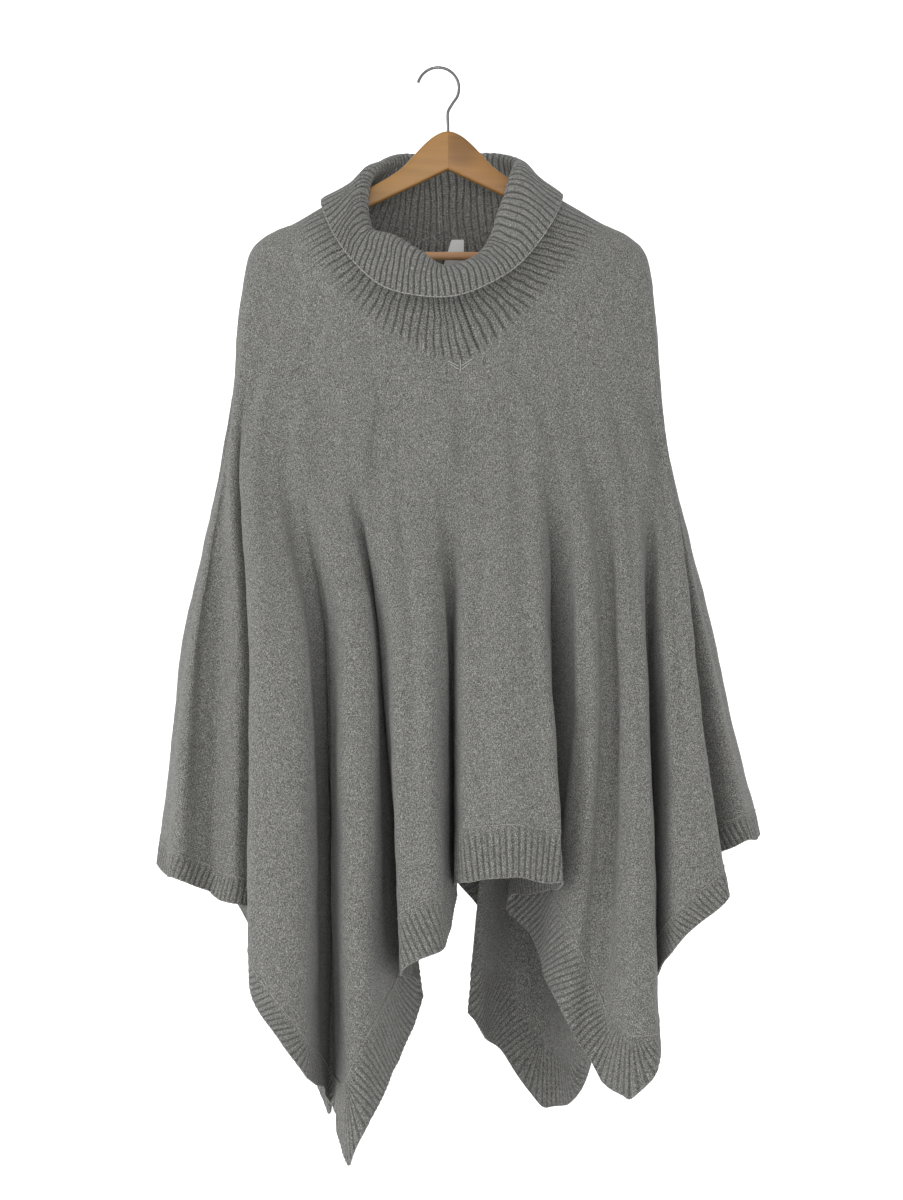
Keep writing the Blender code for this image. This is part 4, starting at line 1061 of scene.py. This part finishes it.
def hangerArm(name, mirror, material):
    outline = smoothOutline(mirror)
    bpy.ops.object.select_all(action="DESELECT")
    bpy.ops.mesh.primitive_circle_add(vertices=len(outline), radius=0.1, fill_type="NGON")
    arm = bpy.context.object
    arm.name = name
    half = hanger["thick"] * 0.5 * mm
    for vertex, (x, z) in zip(arm.data.vertices, outline):
        vertex.co = (x, -half, z)
    bpy.ops.object.mode_set(mode="EDIT")
    bpy.ops.mesh.select_all(action="SELECT")
    bpy.ops.mesh.extrude_region_move(TRANSFORM_OT_translate={"value": (0.0, 2.0 * half, 0.0)})
    bpy.ops.mesh.select_all(action="SELECT")
    bpy.ops.mesh.normals_make_consistent(inside=False)
    bpy.ops.object.mode_set(mode="OBJECT")
    weights = arm.data.attributes.new("bevel_weight_edge", "FLOAT", "EDGE")
    joint = (garment["stemX"] + 1.0 * mirror) * mm
    for edge in arm.data.edges:   # the two halves meet square, every other long edge is rounded
        a, b = (arm.data.vertices[k].co for k in edge.vertices)
        atJoint = max(a.x * mirror, b.x * mirror) < joint * mirror
        weights.data[edge.index].value = 0.0 if abs(a.y - b.y) > half or atJoint else 1.0
    rounded = arm.modifiers.new("roundedEdges", "BEVEL")
    rounded.width = hanger["edge"] * mm
    rounded.segments = hanger["edgeSteps"]
    rounded.limit_method = "WEIGHT"
    bpy.ops.object.modifier_apply(modifier=rounded.name)
    arm.data.materials.clear()
    arm.data.materials.append(material)
    bpy.ops.object.shade_smooth_by_angle(angle=math.radians(40.0))
    return arm


leftWood = woodMaterial("beechLeft", (0.244, 0.127, 0.037), (0.213, 0.107, 0.030), 1.0, 2.2)
rightWood = woodMaterial("beechRight", (0.232, 0.112, 0.030), (0.198, 0.094, 0.024), -1.0, 2.6, 0.66)
for name, mirror, node, material in (
    ("hangerArmLeft", -1, "hanger_arm_left", leftWood), ("hangerArmRight", 1, "hanger_arm_right", rightWood),
):
    arm = hangerArm(name, mirror, material)
    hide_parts(node)
    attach(arm, "root")
bar = bpy.data.objects["hanger_bar"]
bar.material_slots[0].material = woodMaterial("beechBar", (0.400, 0.225, 0.110), (0.330, 0.170, 0.075), 0.0, 2.0)

wireHook = {"radius": 1.75, "bend": 23.3, "x": -11.0, "z": -21.55, "tip": 165.0, "neck": -27.0, "steps": 48}
wireStem = ((4.6, -39.5), (0.2, -47.5), (-0.4, -55.0), (0.0, -63.0), (0.0, -76.0), (0.0, -79.0))
angles = np.radians(np.linspace(wireHook["tip"], wireHook["neck"], wireHook["steps"] + 1))
circle = np.stack([np.cos(angles), angles * 0.0, np.sin(angles)], axis=1) * wireHook["bend"]
wirePath = circle + (wireHook["x"], 0.0, wireHook["z"])
sweep = np.concatenate([wirePath[-2:], [(x, 0.0, z) for x, z in wireStem]])
wirePath = np.concatenate([wirePath, drawThrough(sweep, 6)[1:]])
bpy.ops.object.select_all(action="DESELECT")
wire = bpy.data.curves.new("wireHook", "CURVE")
wire.dimensions = "3D"
wire.bevel_depth = wireHook["radius"] * mm
wire.bevel_resolution = 6
wire.use_fill_caps = True
spline = wire.splines.new("POLY")
spline.points.add(len(wirePath) - 1)
for point, place in zip(spline.points, onStem(wirePath)):
    point.co = (*place, 1.0)
hook = placed("wireHook", wire)
hook.select_set(True)
bpy.context.view_layer.objects.active = hook
bpy.ops.object.convert(target="MESH")
hook = bpy.context.object
hook.data.materials.clear()
hook.data.materials.append(plainMaterial("darkChrome", (0.13, 0.13, 0.135), 0.2, {"Metallic": 1.0}))
hook.data.shade_smooth()
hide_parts("hanger_hook")
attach(hook, "root")
print("hanger done")

# metres from here on
sweepFloor = {"floorZ": -1.62, "front": -7.0, "wallY": 5.2, "top": 4.0, "half": 8.0, "curve": 1.2, "steps": 12}
profile = [(sweepFloor["front"], sweepFloor["floorZ"])]
for angle in np.linspace(0.0, math.pi / 2.0, sweepFloor["steps"] + 1):
    inward = sweepFloor["curve"] * (1.0 - math.sin(angle))
    upward = sweepFloor["curve"] * (1.0 - math.cos(angle))
    profile.append((sweepFloor["wallY"] - inward, sweepFloor["floorZ"] + upward))
profile.append((sweepFloor["wallY"], sweepFloor["top"]))
points = [(x, y, z) for y, z in profile for x in (-sweepFloor["half"], sweepFloor["half"])]
faces = [(2 * k, 2 * k + 1, 2 * k + 3, 2 * k + 2) for k in range(len(profile) - 1)]
quadPiece("sweepFloor", points, faces, plainMaterial("paleFloor", (0.92, 0.92, 0.92), 0.9))

areaLights = {   # width and height, power, place, aim
    "softFront": ((2.6, 1.6), 9.0, (-1.1, -3.0, 0.7), (0.0, 0.0, -0.6)),
    "fillLeft": ((1.2, 2.0), 32.0, (-2.3, -1.6, -0.4), (0.0, 0.0, -0.7)),
    "fillRight": ((1.2, 2.0), 4.0, (2.3, -1.6, -0.4), (0.0, 0.0, -0.7)),
    "fillLow": ((1.6, 0.8), 12.0, (0.1, -2.6, -1.4), (0.0, 0.0, -0.95)),
    "wallWash": ((7.0, 1.5), 170.0, (0.0, 3.6, 2.9), (0.0, 5.2, -0.8)),
    "softBack": ((1.8, 1.0), 14.0, (0.6, 3.1, 1.8), (0.0, 0.0, -0.6)),
}


def hungLight(name, kind, energy, place, aim):
    light = bpy.data.lights.new(name, kind)
    light.energy = energy
    lamp = placed(name, light)
    lamp.location = place
    lamp.rotation_euler = (Vector(aim) - Vector(place)).to_track_quat("-Z", "Y").to_euler()
    return light


for name, (size, energy, place, aim) in areaLights.items():
    light = hungLight(name, "AREA", energy, place, aim)
    light.shape = "RECTANGLE"
    light.size, light.size_y = size
glow = hungLight("neckGlow", "SPOT", 60.0, (0.012, -1.7, -0.1), (0.012, 0.06, -0.148))
glow.spot_size = math.radians(9.0)
glow.spot_blend = 1.0
glow.shadow_soft_size = 0.15
world = bpy.data.worlds.new("paleStudio")
bpy.context.scene.world = world
world.use_nodes = True
fill(world.node_tree, world.node_tree.nodes["Background"], {"Color": (1.0, 1.0, 1.0, 1.0), "Strength": 1.0})
bpy.context.scene.view_settings.view_transform = "Standard"

cameraView = {"place": (0.0149, -2.8, -0.5947), "distance": 2.8, "halfHeight": 0.672}
view = bpy.data.cameras.new("frontView")
view.sensor_fit = "VERTICAL"
view.angle = 2.0 * math.atan(cameraView["halfHeight"] / cameraView["distance"])
camera = placed("frontView", view)
camera.location = cameraView["place"]
camera.rotation_euler = (math.radians(90.0), 0.0, 0.0)
bpy.context.scene.camera = camera
print("stage set")
